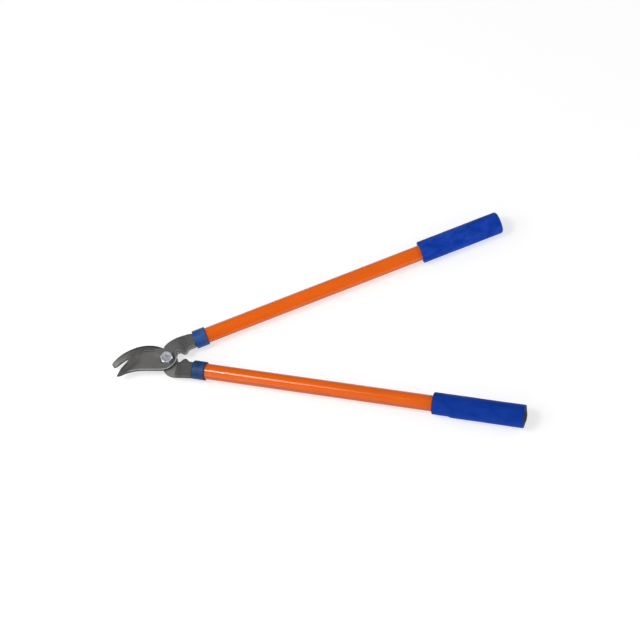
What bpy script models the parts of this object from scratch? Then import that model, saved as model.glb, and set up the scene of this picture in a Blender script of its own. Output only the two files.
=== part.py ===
"""Bypass lopper with two forged levers on a bolt, tubular handles and sleeve grips.

Frame: metres, +Z up. The lopper lies flat. The pivot axis is vertical through the
origin, the bisector of the two handles runs along +X and the jaws point to -X.
The end of the pivot bolt and both grips touch the plane z = 0.
The levers meet in a shear plane at the height of the handle axes: the cutting
lever is the upper one, the hook lever the lower one.
"""

import math

import bmesh
import bpy
from mathutils import Matrix, Vector

MM = 0.001

# ---------------------------------------------------------------- dimensions (mm)
GRIP_R = 18.0                 # outer radius of the grips
Z_SHEAR = GRIP_R              # shear plane and handle axes above the resting plane
GAP = 0.3                     # clearance between neighbouring pieces

HANDLE_ANGLE = 16.33          # each handle axis from the bisector, as posed
OFFSET_UPPER = 18.2           # handle axis to pivot, cutting lever
OFFSET_LOWER = -8.8           # handle axis to pivot, hook lever

BLADE_T = 6.5                 # cutting blade and its boss
HOOK_T = 6.0                  # hook and its boss
TANG_HALF_T = 4.0             # both tangs, centred on the shear plane
BOSS_R = 13.6                 # round boss of the cutting lever

TUBE_R = 12.5                 # 25 mm tube, 1.5 mm wall
TUBE_BORE_R = 11.0
# stations along each handle axis, measured from beside the pivot
FERRULE_UPPER_S = (50.3, 71.1)
FERRULE_LOWER_S = (45.4, 66.4)
FERRULE_R = 14.9
SHANK_LENGTH = 48.0           # flat shank of each tang inside the tube
SHANK_HALF_W = 8.0
FLANGE_LENGTH = 4.1           # flange of the tang sleeve in the tube's mouth
SLEEVE_LENGTH = 50.1
PIN_DEPTH = 12.6              # cross pin, from the front of the ferrule
PIN_R = 3.0

GRIP_UPPER_S = (436.5, 573.6)
GRIP_LOWER_S = (432.8, 573.8)
TUBE_END_UPPER_S = 567.0
TUBE_END_LOWER_S = 570.2
PLUG_DOME = 3.2               # plug stands this far out of the grip

BOLT_R = 6.0                  # M12
HEX_AF = 18.0
CHAMFER_R = 8.6               # flat on the head and the nut inside the corners' chamfer
HEAD_H = 7.5
HEX_CORNER_DEG = -11.6        # direction of one corner of the bolt head
WASHER_T = 1.5
WASHER_R = 12.0
NUT_H = 7.9
NUT_HEX_H = 5.4

STEPS = 40                    # segments of the turned pieces

# ---------------------------------------------------------------- clean start
for existing in list(bpy.data.objects):
    bpy.data.objects.remove(existing, do_unlink=True)

parts = bpy.data.collections.new("lopper")
cutters = bpy.data.collections.new("lopper_cutters")
bpy.context.scene.collection.children.link(parts)
bpy.context.scene.collection.children.link(cutters)


# ---------------------------------------------------------------- materials
def material(name, colour, roughness, metallic):
    mat = bpy.data.materials.new(name)
    mat.use_nodes = True
    shader = mat.node_tree.nodes["Principled BSDF"]
    shader.inputs["Base Color"].default_value = (*colour, 1.0)
    shader.inputs["Roughness"].default_value = roughness
    shader.inputs["Metallic"].default_value = metallic
    mat.diffuse_color = (*colour, 1.0)
    return mat


FORGED = material("forged_steel", (0.115, 0.112, 0.108), 0.45, 0.9)
FORGED_HOOK = material("forged_steel_hook", (0.13, 0.128, 0.122), 0.45, 0.9)
ZINC = material("zinc_plated_steel", (0.46, 0.48, 0.52), 0.35, 0.9)
ZINC_NUT = material("zinc_plated_nut", (0.43, 0.45, 0.49), 0.38, 0.9)
ZINC_WASHER = material("zinc_plated_washer", (0.40, 0.42, 0.45), 0.4, 0.9)
NYLON = material("white_nylon", (0.75, 0.74, 0.70), 0.5, 0.0)
ORANGE_U = material("orange_paint_upper", (0.80, 0.13, 0.008), 0.3, 0.0)
ORANGE_L = material("orange_paint_lower", (0.80, 0.13, 0.008), 0.3, 0.0)
VINYL_U = material("blue_vinyl_upper", (0.008, 0.038, 0.34), 0.55, 0.0)
VINYL_L = material("blue_vinyl_lower", (0.008, 0.038, 0.34), 0.55, 0.0)
COLLAR_U = material("blue_ferrule_upper", (0.03, 0.10, 0.36), 0.45, 0.0)
COLLAR_L = material("blue_ferrule_lower", (0.03, 0.09, 0.30), 0.45, 0.0)
SLEEVE_U = material("grey_liner_upper", (0.10, 0.11, 0.13), 0.6, 0.0)
SLEEVE_L = material("grey_liner_lower", (0.10, 0.11, 0.13), 0.6, 0.0)
PIN_U = material("rivet_steel_upper", (0.35, 0.35, 0.34), 0.4, 0.9)
PIN_L = material("rivet_steel_lower", (0.35, 0.35, 0.34), 0.4, 0.9)
BLACK = material("black_plug", (0.02, 0.02, 0.018), 0.5, 0.0)


# ---------------------------------------------------------------- outline helpers
def arc(cx, cy, r, start, end, count):
    """Points on a circle, both ends included, angles in degrees."""
    return [
        (cx + r * math.cos(math.radians(start + (end - start) * i / count)),
         cy + r * math.sin(math.radians(start + (end - start) * i / count)))
        for i in range(count + 1)
    ]


def smooth(points, count=4):
    """A centripetal Catmull-Rom curve through the points, both ends included."""
    pts = [Vector(p) for p in points]
    pts = [2 * pts[0] - pts[1]] + pts + [2 * pts[-1] - pts[-2]]
    out = []
    for i in range(1, len(pts) - 2):
        p0, p1, p2, p3 = pts[i - 1:i + 3]
        t0 = 0.0
        t1 = t0 + (p1 - p0).length ** 0.5
        t2 = t1 + (p2 - p1).length ** 0.5
        t3 = t2 + (p3 - p2).length ** 0.5
        for k in range(count):
            t = t1 + (t2 - t1) * k / count
            a1 = p0 * ((t1 - t) / (t1 - t0)) + p1 * ((t - t0) / (t1 - t0))
            a2 = p1 * ((t2 - t) / (t2 - t1)) + p2 * ((t - t1) / (t2 - t1))
            a3 = p2 * ((t3 - t) / (t3 - t2)) + p3 * ((t - t2) / (t3 - t2))
            b1 = a1 * ((t2 - t) / (t2 - t0)) + a2 * ((t - t0) / (t2 - t0))
            b2 = a2 * ((t3 - t) / (t3 - t1)) + a3 * ((t - t1) / (t3 - t1))
            c = b1 * ((t2 - t) / (t2 - t1)) + b2 * ((t - t1) / (t2 - t1))
            out.append((c.x, c.y))
    out.append((pts[-2].x, pts[-2].y))
    return out


class Handle:
    """A handle axis in the plan: s runs along it from beside the pivot, p to its left."""

    def __init__(self, angle, offset, ferrule_s, grip_s, tube_end):
        self.ferrule_s, self.grip_s, self.tube_end = ferrule_s, grip_s, tube_end
        self.tang_end = ferrule_s[0] - GAP
        self.shank_end = ferrule_s[0] + SHANK_LENGTH
        self.pin_s = ferrule_s[0] + PIN_DEPTH
        a = math.radians(angle)
        self.u = Vector((math.cos(a), math.sin(a)))
        self.n = Vector((-math.sin(a), math.cos(a)))
        self.base = self.n * offset

    def at(self, s, p=0.0):
        v = self.base + self.u * s + self.n * p
        return (v.x, v.y)

    def matrix(self):
        """Local Z along the handle, local Y up, origin beside the pivot (metres)."""
        m = Matrix.Identity(4)
        m.col[0][:3] = (self.n.x, self.n.y, 0.0)
        m.col[1][:3] = (0.0, 0.0, 1.0)
        m.col[2][:3] = (self.u.x, self.u.y, 0.0)
        m.col[3][:3] = (self.base.x * MM, self.base.y * MM, Z_SHEAR * MM)
        return m


UPPER = Handle(HANDLE_ANGLE, OFFSET_UPPER, FERRULE_UPPER_S, GRIP_UPPER_S, TUBE_END_UPPER_S)
LOWER = Handle(-HANDLE_ANGLE, OFFSET_LOWER, FERRULE_LOWER_S, GRIP_LOWER_S, TUBE_END_LOWER_S)


# ---------------------------------------------------------------- mesh helpers
def link(name, mesh, mat=None, cutter=False):
    obj = bpy.data.objects.new(name, mesh)
    if cutter:
        cutters.objects.link(obj)
        obj.hide_render = True
        obj.display_type = "WIRE"
    else:
        parts.objects.link(obj)
        mesh.materials.append(mat)
    return obj


def mesh_from(bm, name):
    bmesh.ops.recalc_face_normals(bm, faces=bm.faces)
    mesh = bpy.data.meshes.new(name)
    bm.to_mesh(mesh)
    bm.free()
    return mesh


def prism(name, outline, z0, z1, mat=None, cutter=False):
    """A flat outline in the plan, extruded between two heights (mm)."""
    bm = bmesh.new()
    face = bm.faces.new([bm.verts.new((x * MM, y * MM, z0 * MM)) for x, y in outline])
    grown = bmesh.ops.extrude_face_region(bm, geom=[face])
    moved = [v for v in grown["geom"] if isinstance(v, bmesh.types.BMVert)]
    bmesh.ops.translate(bm, vec=(0, 0, (z1 - z0) * MM), verts=moved)
    return link(name, mesh_from(bm, name), mat, cutter)


def side_prism(name, handle, profile, half_width):
    """A cutter whose (s, height) profile is extruded across a handle."""
    bm = bmesh.new()
    ring = [bm.verts.new((-half_width * MM, z * MM, s * MM)) for s, z in profile]
    face = bm.faces.new(ring)
    grown = bmesh.ops.extrude_face_region(bm, geom=[face])
    moved = [v for v in grown["geom"] if isinstance(v, bmesh.types.BMVert)]
    bmesh.ops.translate(bm, vec=(2 * half_width * MM, 0, 0), verts=moved)
    obj = link(name, mesh_from(bm, name), cutter=True)
    obj.matrix_world = handle.matrix()
    return obj


def loft(name, sections, cutter=True):
    """A closed solid through a row of equal rings of points (mm)."""
    bm = bmesh.new()
    rings = [[bm.verts.new([c * MM for c in p]) for p in ring] for ring in sections]
    n = len(rings[0])
    for a, b in zip(rings, rings[1:]):
        for i in range(n):
            j = (i + 1) % n
            bm.faces.new((a[i], a[j], b[j], b[i]))
    bm.faces.new(rings[0])
    bm.faces.new(list(reversed(rings[-1])))
    return link(name, mesh_from(bm, name), cutter=cutter)


def turned(name, profile, matrix, mat=None, steps=STEPS, closed=True, cutter=False):
    """A profile of (radius, height) pairs turned about local Z.

    It runs down its outer side; a closed profile leaves a bore, an open one starts
    and ends on the axis."""
    bm = bmesh.new()
    verts = [bm.verts.new((r * MM, 0.0, h * MM)) for r, h in profile]
    for a, b in zip(verts, verts[1:]):
        bm.edges.new((a, b))
    if closed:
        bm.edges.new((verts[-1], verts[0]))
    mesh = bpy.data.meshes.new(name)
    bm.to_mesh(mesh)
    bm.free()
    obj = link(name, mesh, mat, cutter)
    obj.matrix_world = matrix
    screw = obj.modifiers.new("turn", "SCREW")
    screw.axis = "Z"
    screw.angle = math.tau
    screw.steps = steps
    screw.render_steps = steps
    screw.use_merge_vertices = True
    screw.merge_threshold = 0.00001
    screw.use_smooth_shade = True
    return obj


def cylinder(name, r, depth, matrix, segments=24, cutter=True, mat=None):
    """A cylinder centred on its matrix, along local Z."""
    bm = bmesh.new()
    bmesh.ops.create_cone(bm, cap_ends=True, segments=segments, radius1=r * MM,
                          radius2=r * MM, depth=depth * MM)
    mesh = bpy.data.meshes.new(name)
    bm.to_mesh(mesh)
    bm.free()
    obj = link(name, mesh, mat, cutter)
    obj.matrix_world = matrix
    return obj


def cut(target, tool, operation="DIFFERENCE"):
    mod = target.modifiers.new(tool.name, "BOOLEAN")
    mod.operation = operation
    mod.solver = "EXACT"
    mod.object = tool
    return mod


def up(z, x=0.0, y=0.0):
    return Matrix.Translation((x * MM, y * MM, z * MM))


# ---------------------------------------------------------------- lever outlines (mm)
# Cutting edge, from the heel beside the pivot to the point of the blade.
EDGE = smooth([
    (-7.9, 20.9), (-11.6, 22.7), (-18.5, 24.2), (-25.9, 25.2), (-33.2, 26.0),
    (-39.7, 26.4), (-46.3, 25.9), (-52.0, 24.1), (-57.1, 20.8), (-61.4, 16.3),
    (-64.9, 11.2), (-68.5, 6.3), (-72.5, 1.9), (-76.6, -2.6), (-80.1, -8.4),
    (-83.4, -15.1),
], 2)

SPINE = smooth([
    (-83.5, -17.7), (-81.0, -17.9), (-76.7, -17.1), (-70.1, -14.9), (-60.6, -13.1),
    (-51.3, -12.5), (-41.0, -13.0), (-29.0, -14.6), (-17.8, -16.3), (-10.8, -17.1),
    (-5.6, -17.1), (-1.0, -16.4), (2.9, -15.0), (5.6, -13.0),
], 2)


def shank(handle):
    """Plan of the flat shank, from one side of the tang's shoulder round to the other."""
    s0, s1, w = handle.tang_end, handle.shank_end, SHANK_HALF_W
    return [handle.at(s0, -w), handle.at(s1 - 2.0, -w), handle.at(s1, 2.0 - w),
            handle.at(s1, w - 2.0), handle.at(s1 - 2.0, w), handle.at(s0, w)]


CUT_OUTLINE = (
    shank(UPPER)
    # upper side of the tang, to the cusp against the hook
    + smooth([UPPER.at(UPPER.tang_end, 10.8), UPPER.at(47.0, 12.1), UPPER.at(44.0, 13.0),
              UPPER.at(37.7, 13.5), UPPER.at(29.9, 13.3), UPPER.at(22.6, 12.6), UPPER.at(15.0, 11.5),
              UPPER.at(9.5, 10.0), UPPER.at(5.0, 7.9), (-5.2, 23.6), (-6.6, 21.2)], 2)
    + EDGE
    + [(-84.0, -17.0)]
    + SPINE
    + arc(0, 0, BOSS_R, -60, 0, 7)
    # closing stop and lower side of the tang
    + smooth([(13.9, 2.6), (15.1, 5.7), (15.2, 8.6), (15.3, 11.0), (16.2, 12.1), (18.2, 12.2),
              (20.5, 11.6), (22.9, 10.0),
              (25.5, 8.9), (28.3, 8.9), (30.5, 10.5), (32.2, 13.2), (34.4, 15.7), (37.4, 17.0),
              (41.4, 18.3), UPPER.at(UPPER.tang_end, -11.9)], 2)
)

HOOK_BACK = smooth([
    (-8.2, 24.0), (-17.9, 28.8), (-28.4, 31.7), (-39.3, 32.7), (-50.5, 31.7),
    (-61.4, 28.8), (-72.0, 24.2), (-82.1, 17.7), (-90.7, 9.4),
], 3)
HOOK_TIP = arc(-87.7, 5.9, 4.45, 143.0, 300.0, 8)

HOOK_OUTLINE = (
    list(reversed([LOWER.at(LOWER.tang_end, SHANK_HALF_W), LOWER.at(LOWER.shank_end - 2.0, SHANK_HALF_W),
                   LOWER.at(LOWER.shank_end, SHANK_HALF_W - 2.0)]))
    # upper side of the tang with its closing stop
    + smooth([LOWER.at(LOWER.tang_end, 11.3), (38.5, -8.7), (35.3, -7.7), (33.3, -5.6), (31.4, -3.1),
              (29.2, -1.9), (26.6, -1.9), (24.3, -2.9), (21.7, -4.9), (19.6, -6.4),
              (17.5, -6.1), (15.6, -4.5), (14.6, -2.2), (14.5, 0.6), (14.1, 3.6), (12.8, 6.8),
              (10.4, 9.8), (7.2, 12.2), (3.2, 14.6), (-2.0, 17.8), (-6.4, 21.2)], 2)
    + HOOK_BACK
    + HOOK_TIP
    # inner edge of the hook, throat, and belly of the boss
    + smooth([(-84.1, 2.8), (-82.1, 4.2), (-76.0, 8.5), (-69.7, 12.2), (-57.7, 16.9), (-44.6, 18.4),
              (-31.7, 16.6), (-21.8, 11.8), (-15.0, 4.9), (-11.6, -2.5), (-10.2, -9.5),
              (-8.8, -15.4), (-6.5, -19.5), (-3.3, -23.1), (-0.1, -25.6), (3.0, -27.4),
              (6.3, -28.5), LOWER.at(18.5, -16.7), LOWER.at(24.9, -15.9), LOWER.at(31.5, -15.6),
              LOWER.at(38.1, -15.2), LOWER.at(LOWER.tang_end, -14.6)], 2)
    + [LOWER.at(LOWER.tang_end, -SHANK_HALF_W), LOWER.at(LOWER.shank_end - 2.0, -SHANK_HALF_W),
       LOWER.at(LOWER.shank_end, 2.0 - SHANK_HALF_W)]
)

# The half-lap steps between boss and tang run along these lines in the plan.
STEP_NEAR = (15.5, 7.5)
STEP_FAR = (9.0, 32.8)


def step_region(sign):
    """The plan on the jaw side of a half-lap step: sign +1 cutting lever, -1 hook lever."""
    (x0, y0), (x1, y1) = STEP_NEAR, STEP_FAR
    k = (x1 - x0) / (y1 - y0)
    bottom = (x0 + k * (-60 - y0), -60.0 * sign)
    top = (x0 + k * (70 - y0), 70.0 * sign)
    return [bottom, top, (-120.0, 70.0 * sign), (-120.0, -60.0 * sign)]


def bolt_bore(name):
    return cylinder(name, BOLT_R + GAP, 40.0, up(Z_SHEAR), segments=32)


def pin_bore(name, handle, length=40.0):
    x, y = handle.at(handle.pin_s)
    return cylinder(name, PIN_R + GAP, length, up(Z_SHEAR, x, y), segments=16)


# ---------------------------------------------------------------- cutting lever
cutting_blade = prism("cutting_blade", CUT_OUTLINE, Z_SHEAR - TANG_HALF_T, Z_SHEAR + BLADE_T, FORGED)
cut(cutting_blade, prism("cut_lap", step_region(1), Z_SHEAR - 8.0, Z_SHEAR + GAP / 2, cutter=True))
cut(cutting_blade, side_prism(
    "cut_ramp", UPPER,
    [(21.5, BLADE_T + 0.07), (40.0, TANG_HALF_T), (110.0, TANG_HALF_T), (110.0, 14.0), (21.5, 14.0)], 40.0))


def edge_grind():
    """Flat grind along the cutting edge, widening towards the point."""
    ring = []
    n = len(EDGE)
    for i, (x, y) in enumerate(EDGE):
        ahead = Vector(EDGE[min(i + 1, n - 1)]) - Vector(EDGE[max(i - 1, 0)])
        inward = Vector((-ahead.y, ahead.x)).normalized()
        t = i / (n - 1)
        width = 6.0 + 2.0 * min(1.0, t * 2.5) + 4.5 * max(0.0, (t - 0.45) / 0.55)
        slope = (BLADE_T - 0.6) / width
        z0 = Z_SHEAR + 0.6
        p = Vector((x, y))
        outer, inner = p - inward * 1.5, p + inward * (width * 1.25)
        ring.append([
            (outer.x, outer.y, z0 - 1.5 * slope),
            (inner.x, inner.y, z0 + width * 1.25 * slope),
            (inner.x, inner.y, Z_SHEAR + 12.0),
            (outer.x, outer.y, Z_SHEAR + 12.0),
        ])
    # run out past the point of the blade
    last = [Vector(c) for c in ring[-1]]
    way = (last[0] - Vector(ring[-2][0])).normalized() * 6.0
    ring.append([tuple(c + way) for c in last])
    return ring


cut(cutting_blade, loft("cut_edge_grind", edge_grind()))
cut(cutting_blade, bolt_bore("cut_bolt_bore"))
cut(cutting_blade, pin_bore("cut_pin_bore", UPPER))

# ---------------------------------------------------------------- hook lever
hook_blade = prism("hook_blade", HOOK_OUTLINE, Z_SHEAR - HOOK_T, Z_SHEAR + TANG_HALF_T, FORGED_HOOK)
cut(hook_blade, prism("hook_lap", step_region(-1), Z_SHEAR - GAP / 2, Z_SHEAR + 8.0, cutter=True))
cut(hook_blade, side_prism(
    "hook_ramp", LOWER,
    [(21.5, -HOOK_T - 0.07), (36.0, -TANG_HALF_T), (110.0, -TANG_HALF_T), (110.0, -14.0), (21.5, -14.0)], 40.0))
cut(hook_blade, bolt_bore("hook_bolt_bore"))
cut(hook_blade, pin_bore("hook_pin_bore", LOWER))


# ---------------------------------------------------------------- pivot hardware
def hexagon(across_flats, corner_deg):
    r = across_flats / math.sqrt(3.0)
    return [(r * math.cos(math.radians(corner_deg + 60 * k)),
             r * math.sin(math.radians(corner_deg + 60 * k))) for k in range(6)]


head_z = Z_SHEAR + BLADE_T + GAP
pivot_bolt = prism("pivot_bolt", hexagon(HEX_AF, HEX_CORNER_DEG), head_z, head_z + HEAD_H, ZINC)
cut(pivot_bolt, turned("bolt_head_form", [
    (0.0, head_z + HEAD_H + 0.001), (CHAMFER_R, head_z + HEAD_H + 0.001), (12.0, head_z + HEAD_H - 1.9),
    (12.0, head_z - 1.0), (0.0, head_z - 1.0)], Matrix.Identity(4), closed=False, cutter=True), "INTERSECT")
cut(pivot_bolt, turned("bolt_shank", [
    (0.0, head_z + 1.0), (BOLT_R, head_z + 1.0), (BOLT_R, 1.0), (BOLT_R - 0.9, 0.0), (0.0, 0.0)],
    Matrix.Identity(4), closed=False, cutter=True, steps=32), "UNION")

washer_top = Z_SHEAR - HOOK_T - GAP
turned("nut_washer", [
    (BOLT_R + GAP + 0.2, washer_top), (WASHER_R, washer_top), (WASHER_R, washer_top - WASHER_T),
    (BOLT_R + GAP + 0.2, washer_top - WASHER_T)], Matrix.Identity(4), ZINC_WASHER)

nut_top = washer_top - WASHER_T - GAP
nut_bottom = nut_top - NUT_H
pivot_nut = prism("pivot_nut", hexagon(HEX_AF, 11.0), nut_top - NUT_HEX_H, nut_top, ZINC_NUT)
cut(pivot_nut, turned("nut_form", [
    (0.0, nut_top + 1.0), (12.0, nut_top + 1.0), (12.0, nut_top - NUT_HEX_H + 1.9),
    (CHAMFER_R, nut_top - NUT_HEX_H - 0.001), (0.0, nut_top - NUT_HEX_H - 0.001)],
    Matrix.Identity(4), closed=False, cutter=True), "INTERSECT")
cut(pivot_nut, turned("nut_collar", [
    (0.0, nut_bottom + 4.0), (8.5, nut_bottom + 4.0), (8.5, nut_bottom + 0.9), (7.9, nut_bottom),
    (0.0, nut_bottom)], Matrix.Identity(4), closed=False, cutter=True), "UNION")
cut(pivot_nut, turned("nut_bore", [
    (0.0, nut_top + 2.0), (BOLT_R + GAP, nut_top + 2.0), (BOLT_R + GAP, nut_bottom + 2.8),
    (7.6, nut_bottom + 2.8), (7.6, nut_bottom + 0.6), (7.0, nut_bottom - 1.0), (0.0, nut_bottom - 1.0)],
    Matrix.Identity(4), closed=False, cutter=True, steps=32))
turned("nut_nylon_insert", [
    (BOLT_R + GAP, nut_bottom + 2.5), (7.3, nut_bottom + 2.5), (7.3, nut_bottom + 0.7),
    (BOLT_R + GAP, nut_bottom + 0.7)], Matrix.Identity(4), NYLON, steps=32)


# ---------------------------------------------------------------- handles
def tube(name, handle, mat):
    s0 = handle.ferrule_s[0] + FLANGE_LENGTH + GAP
    s1 = handle.tube_end
    obj = turned(name, [(TUBE_BORE_R, s1), (TUBE_R, s1), (TUBE_R, s0), (TUBE_BORE_R, s0)],
                 handle.matrix(), mat, steps=48)
    cut(obj, pin_bore(name + "_pin_bore", handle))
    return obj


def ferrule(name, handle, mat):
    s0, s1 = handle.ferrule_s
    bore = TUBE_R + GAP
    turned(name, [
        (bore, s1), (FERRULE_R - 0.9, s1), (FERRULE_R, s1 - 0.9), (FERRULE_R, s0 + 0.9), (FERRULE_R - 0.9, s0),
        (bore, s0)], handle.matrix(), mat, steps=48)


def tang_sleeve(name, handle, mat):
    s0 = handle.ferrule_s[0]
    flange, end = s0 + FLANGE_LENGTH, s0 + SLEEVE_LENGTH
    r = TUBE_BORE_R - GAP
    obj = turned(name, [
        (0.0, end), (r - 0.8, end), (r, end - 0.8), (r, flange), (TUBE_R, flange), (TUBE_R, s0), (0.0, s0)],
        handle.matrix(), mat, steps=36, closed=False)
    w, h = SHANK_HALF_W + GAP, TANG_HALF_T + GAP
    cut(obj, side_prism(name + "_slot", handle, [(30.0, -h), (30.0, h), (120.0, h), (120.0, -h)], w))
    cut(obj, pin_bore(name + "_pin_bore", handle))
    return obj


def tang_pin(name, handle, mat):
    x, y = handle.at(handle.pin_s)
    half = math.sqrt(TUBE_R ** 2 - PIN_R ** 2) - 0.05
    cylinder(name, PIN_R, 2 * half, up(Z_SHEAR, x, y), segments=20, cutter=False, mat=mat)


def rounded(r_in, r_out, h_in, h_out, count):
    """Quarter ellipse from (r_in, h_in) to (r_out, h_out)."""
    return [(r_in + (r_out - r_in) * math.sin(math.pi / 2 * i / count),
             h_out + (h_in - h_out) * math.cos(math.pi / 2 * i / count)) for i in range(count + 1)]


def grip_front(s0, bore):
    """The mouth of a grip: outer edge rounded, then the start of its bore."""
    return [(GRIP_R, s0 + 1.8), (GRIP_R - 0.5, s0 + 0.5), (GRIP_R - 1.6, s0), (bore + 0.6, s0), (bore, s0 + 0.6)]


def closed_grip(name, handle, mat):
    s0, s1 = handle.grip_s
    bore = TUBE_R + GAP
    turned(name, [(0.0, s1)] + rounded(GRIP_R - 5.0, GRIP_R, s1, s1 - 5.0, 5) + grip_front(s0, bore)
           + [(bore, handle.tube_end + GAP), (0.0, handle.tube_end + GAP)],
           handle.matrix(), mat, steps=48, closed=False)


PLUG_HEAD_R = 13.9


def open_grip(name, handle, mat):
    s0, s1 = handle.grip_s
    bore = TUBE_R + GAP
    seat = PLUG_HEAD_R + GAP
    turned(name, [(seat, s1), (GRIP_R - 0.8, s1), (GRIP_R, s1 - 0.8)] + grip_front(s0, bore)
           + [(bore, handle.tube_end), (seat, handle.tube_end)],
           handle.matrix(), mat, steps=48)


def end_plug(name, handle, mat):
    top = handle.grip_s[1] + PLUG_DOME
    shoulder = handle.grip_s[1] - 0.2
    seat = handle.tube_end + GAP
    stem = TUBE_BORE_R - GAP
    dome = [(PLUG_HEAD_R * i / 5, shoulder + (top - shoulder) * (1 - (i / 5) ** 2)) for i in range(6)]
    turned(name, dome + [(PLUG_HEAD_R, seat), (stem, seat), (stem, seat - 25.0), (stem - 1.2, seat - 26.5),
                         (0.0, seat - 26.5)],
           handle.matrix(), mat, steps=40, closed=False)


tube("cutting_handle_tube", UPPER, ORANGE_U)
ferrule("cutting_handle_ferrule", UPPER, COLLAR_U)
tang_sleeve("cutting_tang_sleeve", UPPER, SLEEVE_U)
tang_pin("cutting_tang_pin", UPPER, PIN_U)
closed_grip("cutting_handle_grip", UPPER, VINYL_U)

tube("hook_handle_tube", LOWER, ORANGE_L)
ferrule("hook_handle_ferrule", LOWER, COLLAR_L)
tang_sleeve("hook_tang_sleeve", LOWER, SLEEVE_L)
tang_pin("hook_tang_pin", LOWER, PIN_L)
open_grip("hook_handle_grip", LOWER, VINYL_L)
end_plug("hook_handle_end_plug", LOWER, BLACK)
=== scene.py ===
"""Looks of the bypass lopper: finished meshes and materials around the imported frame.

Everything is in metres in the row frame: the lopper lies flat, +Z up, the pivot axis is
vertical through the origin, the jaws point to -X. Lengths below are written in millimetres.
"""

import math

import bpy
import numpy as np
from mathutils import Matrix, Vector, noise
from mathutils.geometry import delaunay_2d_cdt


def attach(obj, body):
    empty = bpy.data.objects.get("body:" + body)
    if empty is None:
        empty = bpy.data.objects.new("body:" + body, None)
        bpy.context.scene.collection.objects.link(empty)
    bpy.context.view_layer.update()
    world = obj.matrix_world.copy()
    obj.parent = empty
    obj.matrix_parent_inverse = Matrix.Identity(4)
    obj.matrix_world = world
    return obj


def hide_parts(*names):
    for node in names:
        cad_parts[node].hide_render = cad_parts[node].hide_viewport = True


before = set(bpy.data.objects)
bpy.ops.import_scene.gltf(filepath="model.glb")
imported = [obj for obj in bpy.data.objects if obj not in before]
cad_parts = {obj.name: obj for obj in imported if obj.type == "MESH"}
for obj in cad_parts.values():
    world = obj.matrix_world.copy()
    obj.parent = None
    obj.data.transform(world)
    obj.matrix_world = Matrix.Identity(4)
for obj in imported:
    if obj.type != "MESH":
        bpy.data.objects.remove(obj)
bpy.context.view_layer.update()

MM = 0.001
SHEAR = 18.0                  # shear plane and handle axes above the floor
GRIP_R = 18.0
TUBE_R = 12.5
TUBE_BORE_R = 11.0
FERRULE_R = 14.9
BOSS_R = 13.6
HEX_AF = 18.0
CHAMFER_R = 8.45              # where the flat of the head and of the nut gives way to the chamfer
BLADE_T = 6.5
HOOK_T = 6.0
TANG_HALF_T = 4.0
GAP = 0.3


# ================================================================ helpers: plan curves
def arc(cx, cy, r, start, end, count):
    return [(cx + r * math.cos(math.radians(start + (end - start) * i / count)),
             cy + r * math.sin(math.radians(start + (end - start) * i / count))) for i in range(count + 1)]


def smooth(points, count=8):
    """Centripetal Catmull-Rom curve through the points."""
    pts = [Vector(p) for p in points]
    pts = [2 * pts[0] - pts[1]] + pts + [2 * pts[-1] - pts[-2]]
    out = []
    for i in range(1, len(pts) - 2):
        p0, p1, p2, p3 = pts[i - 1:i + 3]
        t0 = 0.0
        t1 = t0 + (p1 - p0).length ** 0.5
        t2 = t1 + (p2 - p1).length ** 0.5
        t3 = t2 + (p3 - p2).length ** 0.5
        for k in range(count):
            t = t1 + (t2 - t1) * k / count
            a1 = p0 * ((t1 - t) / (t1 - t0)) + p1 * ((t - t0) / (t1 - t0))
            a2 = p1 * ((t2 - t) / (t2 - t1)) + p2 * ((t - t1) / (t2 - t1))
            a3 = p2 * ((t3 - t) / (t3 - t2)) + p3 * ((t - t2) / (t3 - t2))
            b1 = a1 * ((t2 - t) / (t2 - t0)) + a2 * ((t - t0) / (t2 - t0))
            b2 = a2 * ((t3 - t) / (t3 - t1)) + a3 * ((t - t1) / (t3 - t1))
            c = b1 * ((t2 - t) / (t2 - t1)) + b2 * ((t - t1) / (t2 - t1))
            out.append((c.x, c.y))
    out.append((pts[-2].x, pts[-2].y))
    return out


def clamp(v, lo=0.0, hi=1.0):
    return np.minimum(np.maximum(v, lo), hi)


def step(lo, hi, v):
    """Smoothstep of v from lo to hi."""
    t = clamp((np.asarray(v, float) - lo) / (hi - lo))
    return t * t * (3 - 2 * t)


class Handle:
    def __init__(self, angle, offset, ferrule_s, grip_s, tube_end):
        self.ferrule_s, self.grip_s, self.tube_end = ferrule_s, grip_s, tube_end
        self.tang_end = ferrule_s[0] - GAP
        self.shank_end = ferrule_s[0] + 48.0
        a = math.radians(angle)
        self.u = Vector((math.cos(a), math.sin(a)))
        self.n = Vector((-math.sin(a), math.cos(a)))
        self.base = self.n * offset

    def at(self, s, p=0.0):
        v = self.base + self.u * s + self.n * p
        return (v.x, v.y)

    def along(self, pts):
        """Stations s along the handle of plan points (n, 2)."""
        return (pts[:, 0] - self.base.x) * self.u.x + (pts[:, 1] - self.base.y) * self.u.y

    def across(self, pts):
        return (pts[:, 0] - self.base.x) * self.n.x + (pts[:, 1] - self.base.y) * self.n.y

    def matrix(self):
        m = Matrix.Identity(4)
        m.col[0][:3] = (self.n.x, self.n.y, 0.0)
        m.col[1][:3] = (0.0, 0.0, 1.0)
        m.col[2][:3] = (self.u.x, self.u.y, 0.0)
        m.col[3][:3] = (self.base.x * MM, self.base.y * MM, SHEAR * MM)
        return m


UPPER = Handle(16.33, 18.2, (50.3, 71.1), (436.5, 573.6), 567.0)
LOWER = Handle(-16.33, -8.8, (45.4, 66.4), (432.8, 573.8), 570.2)


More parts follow.
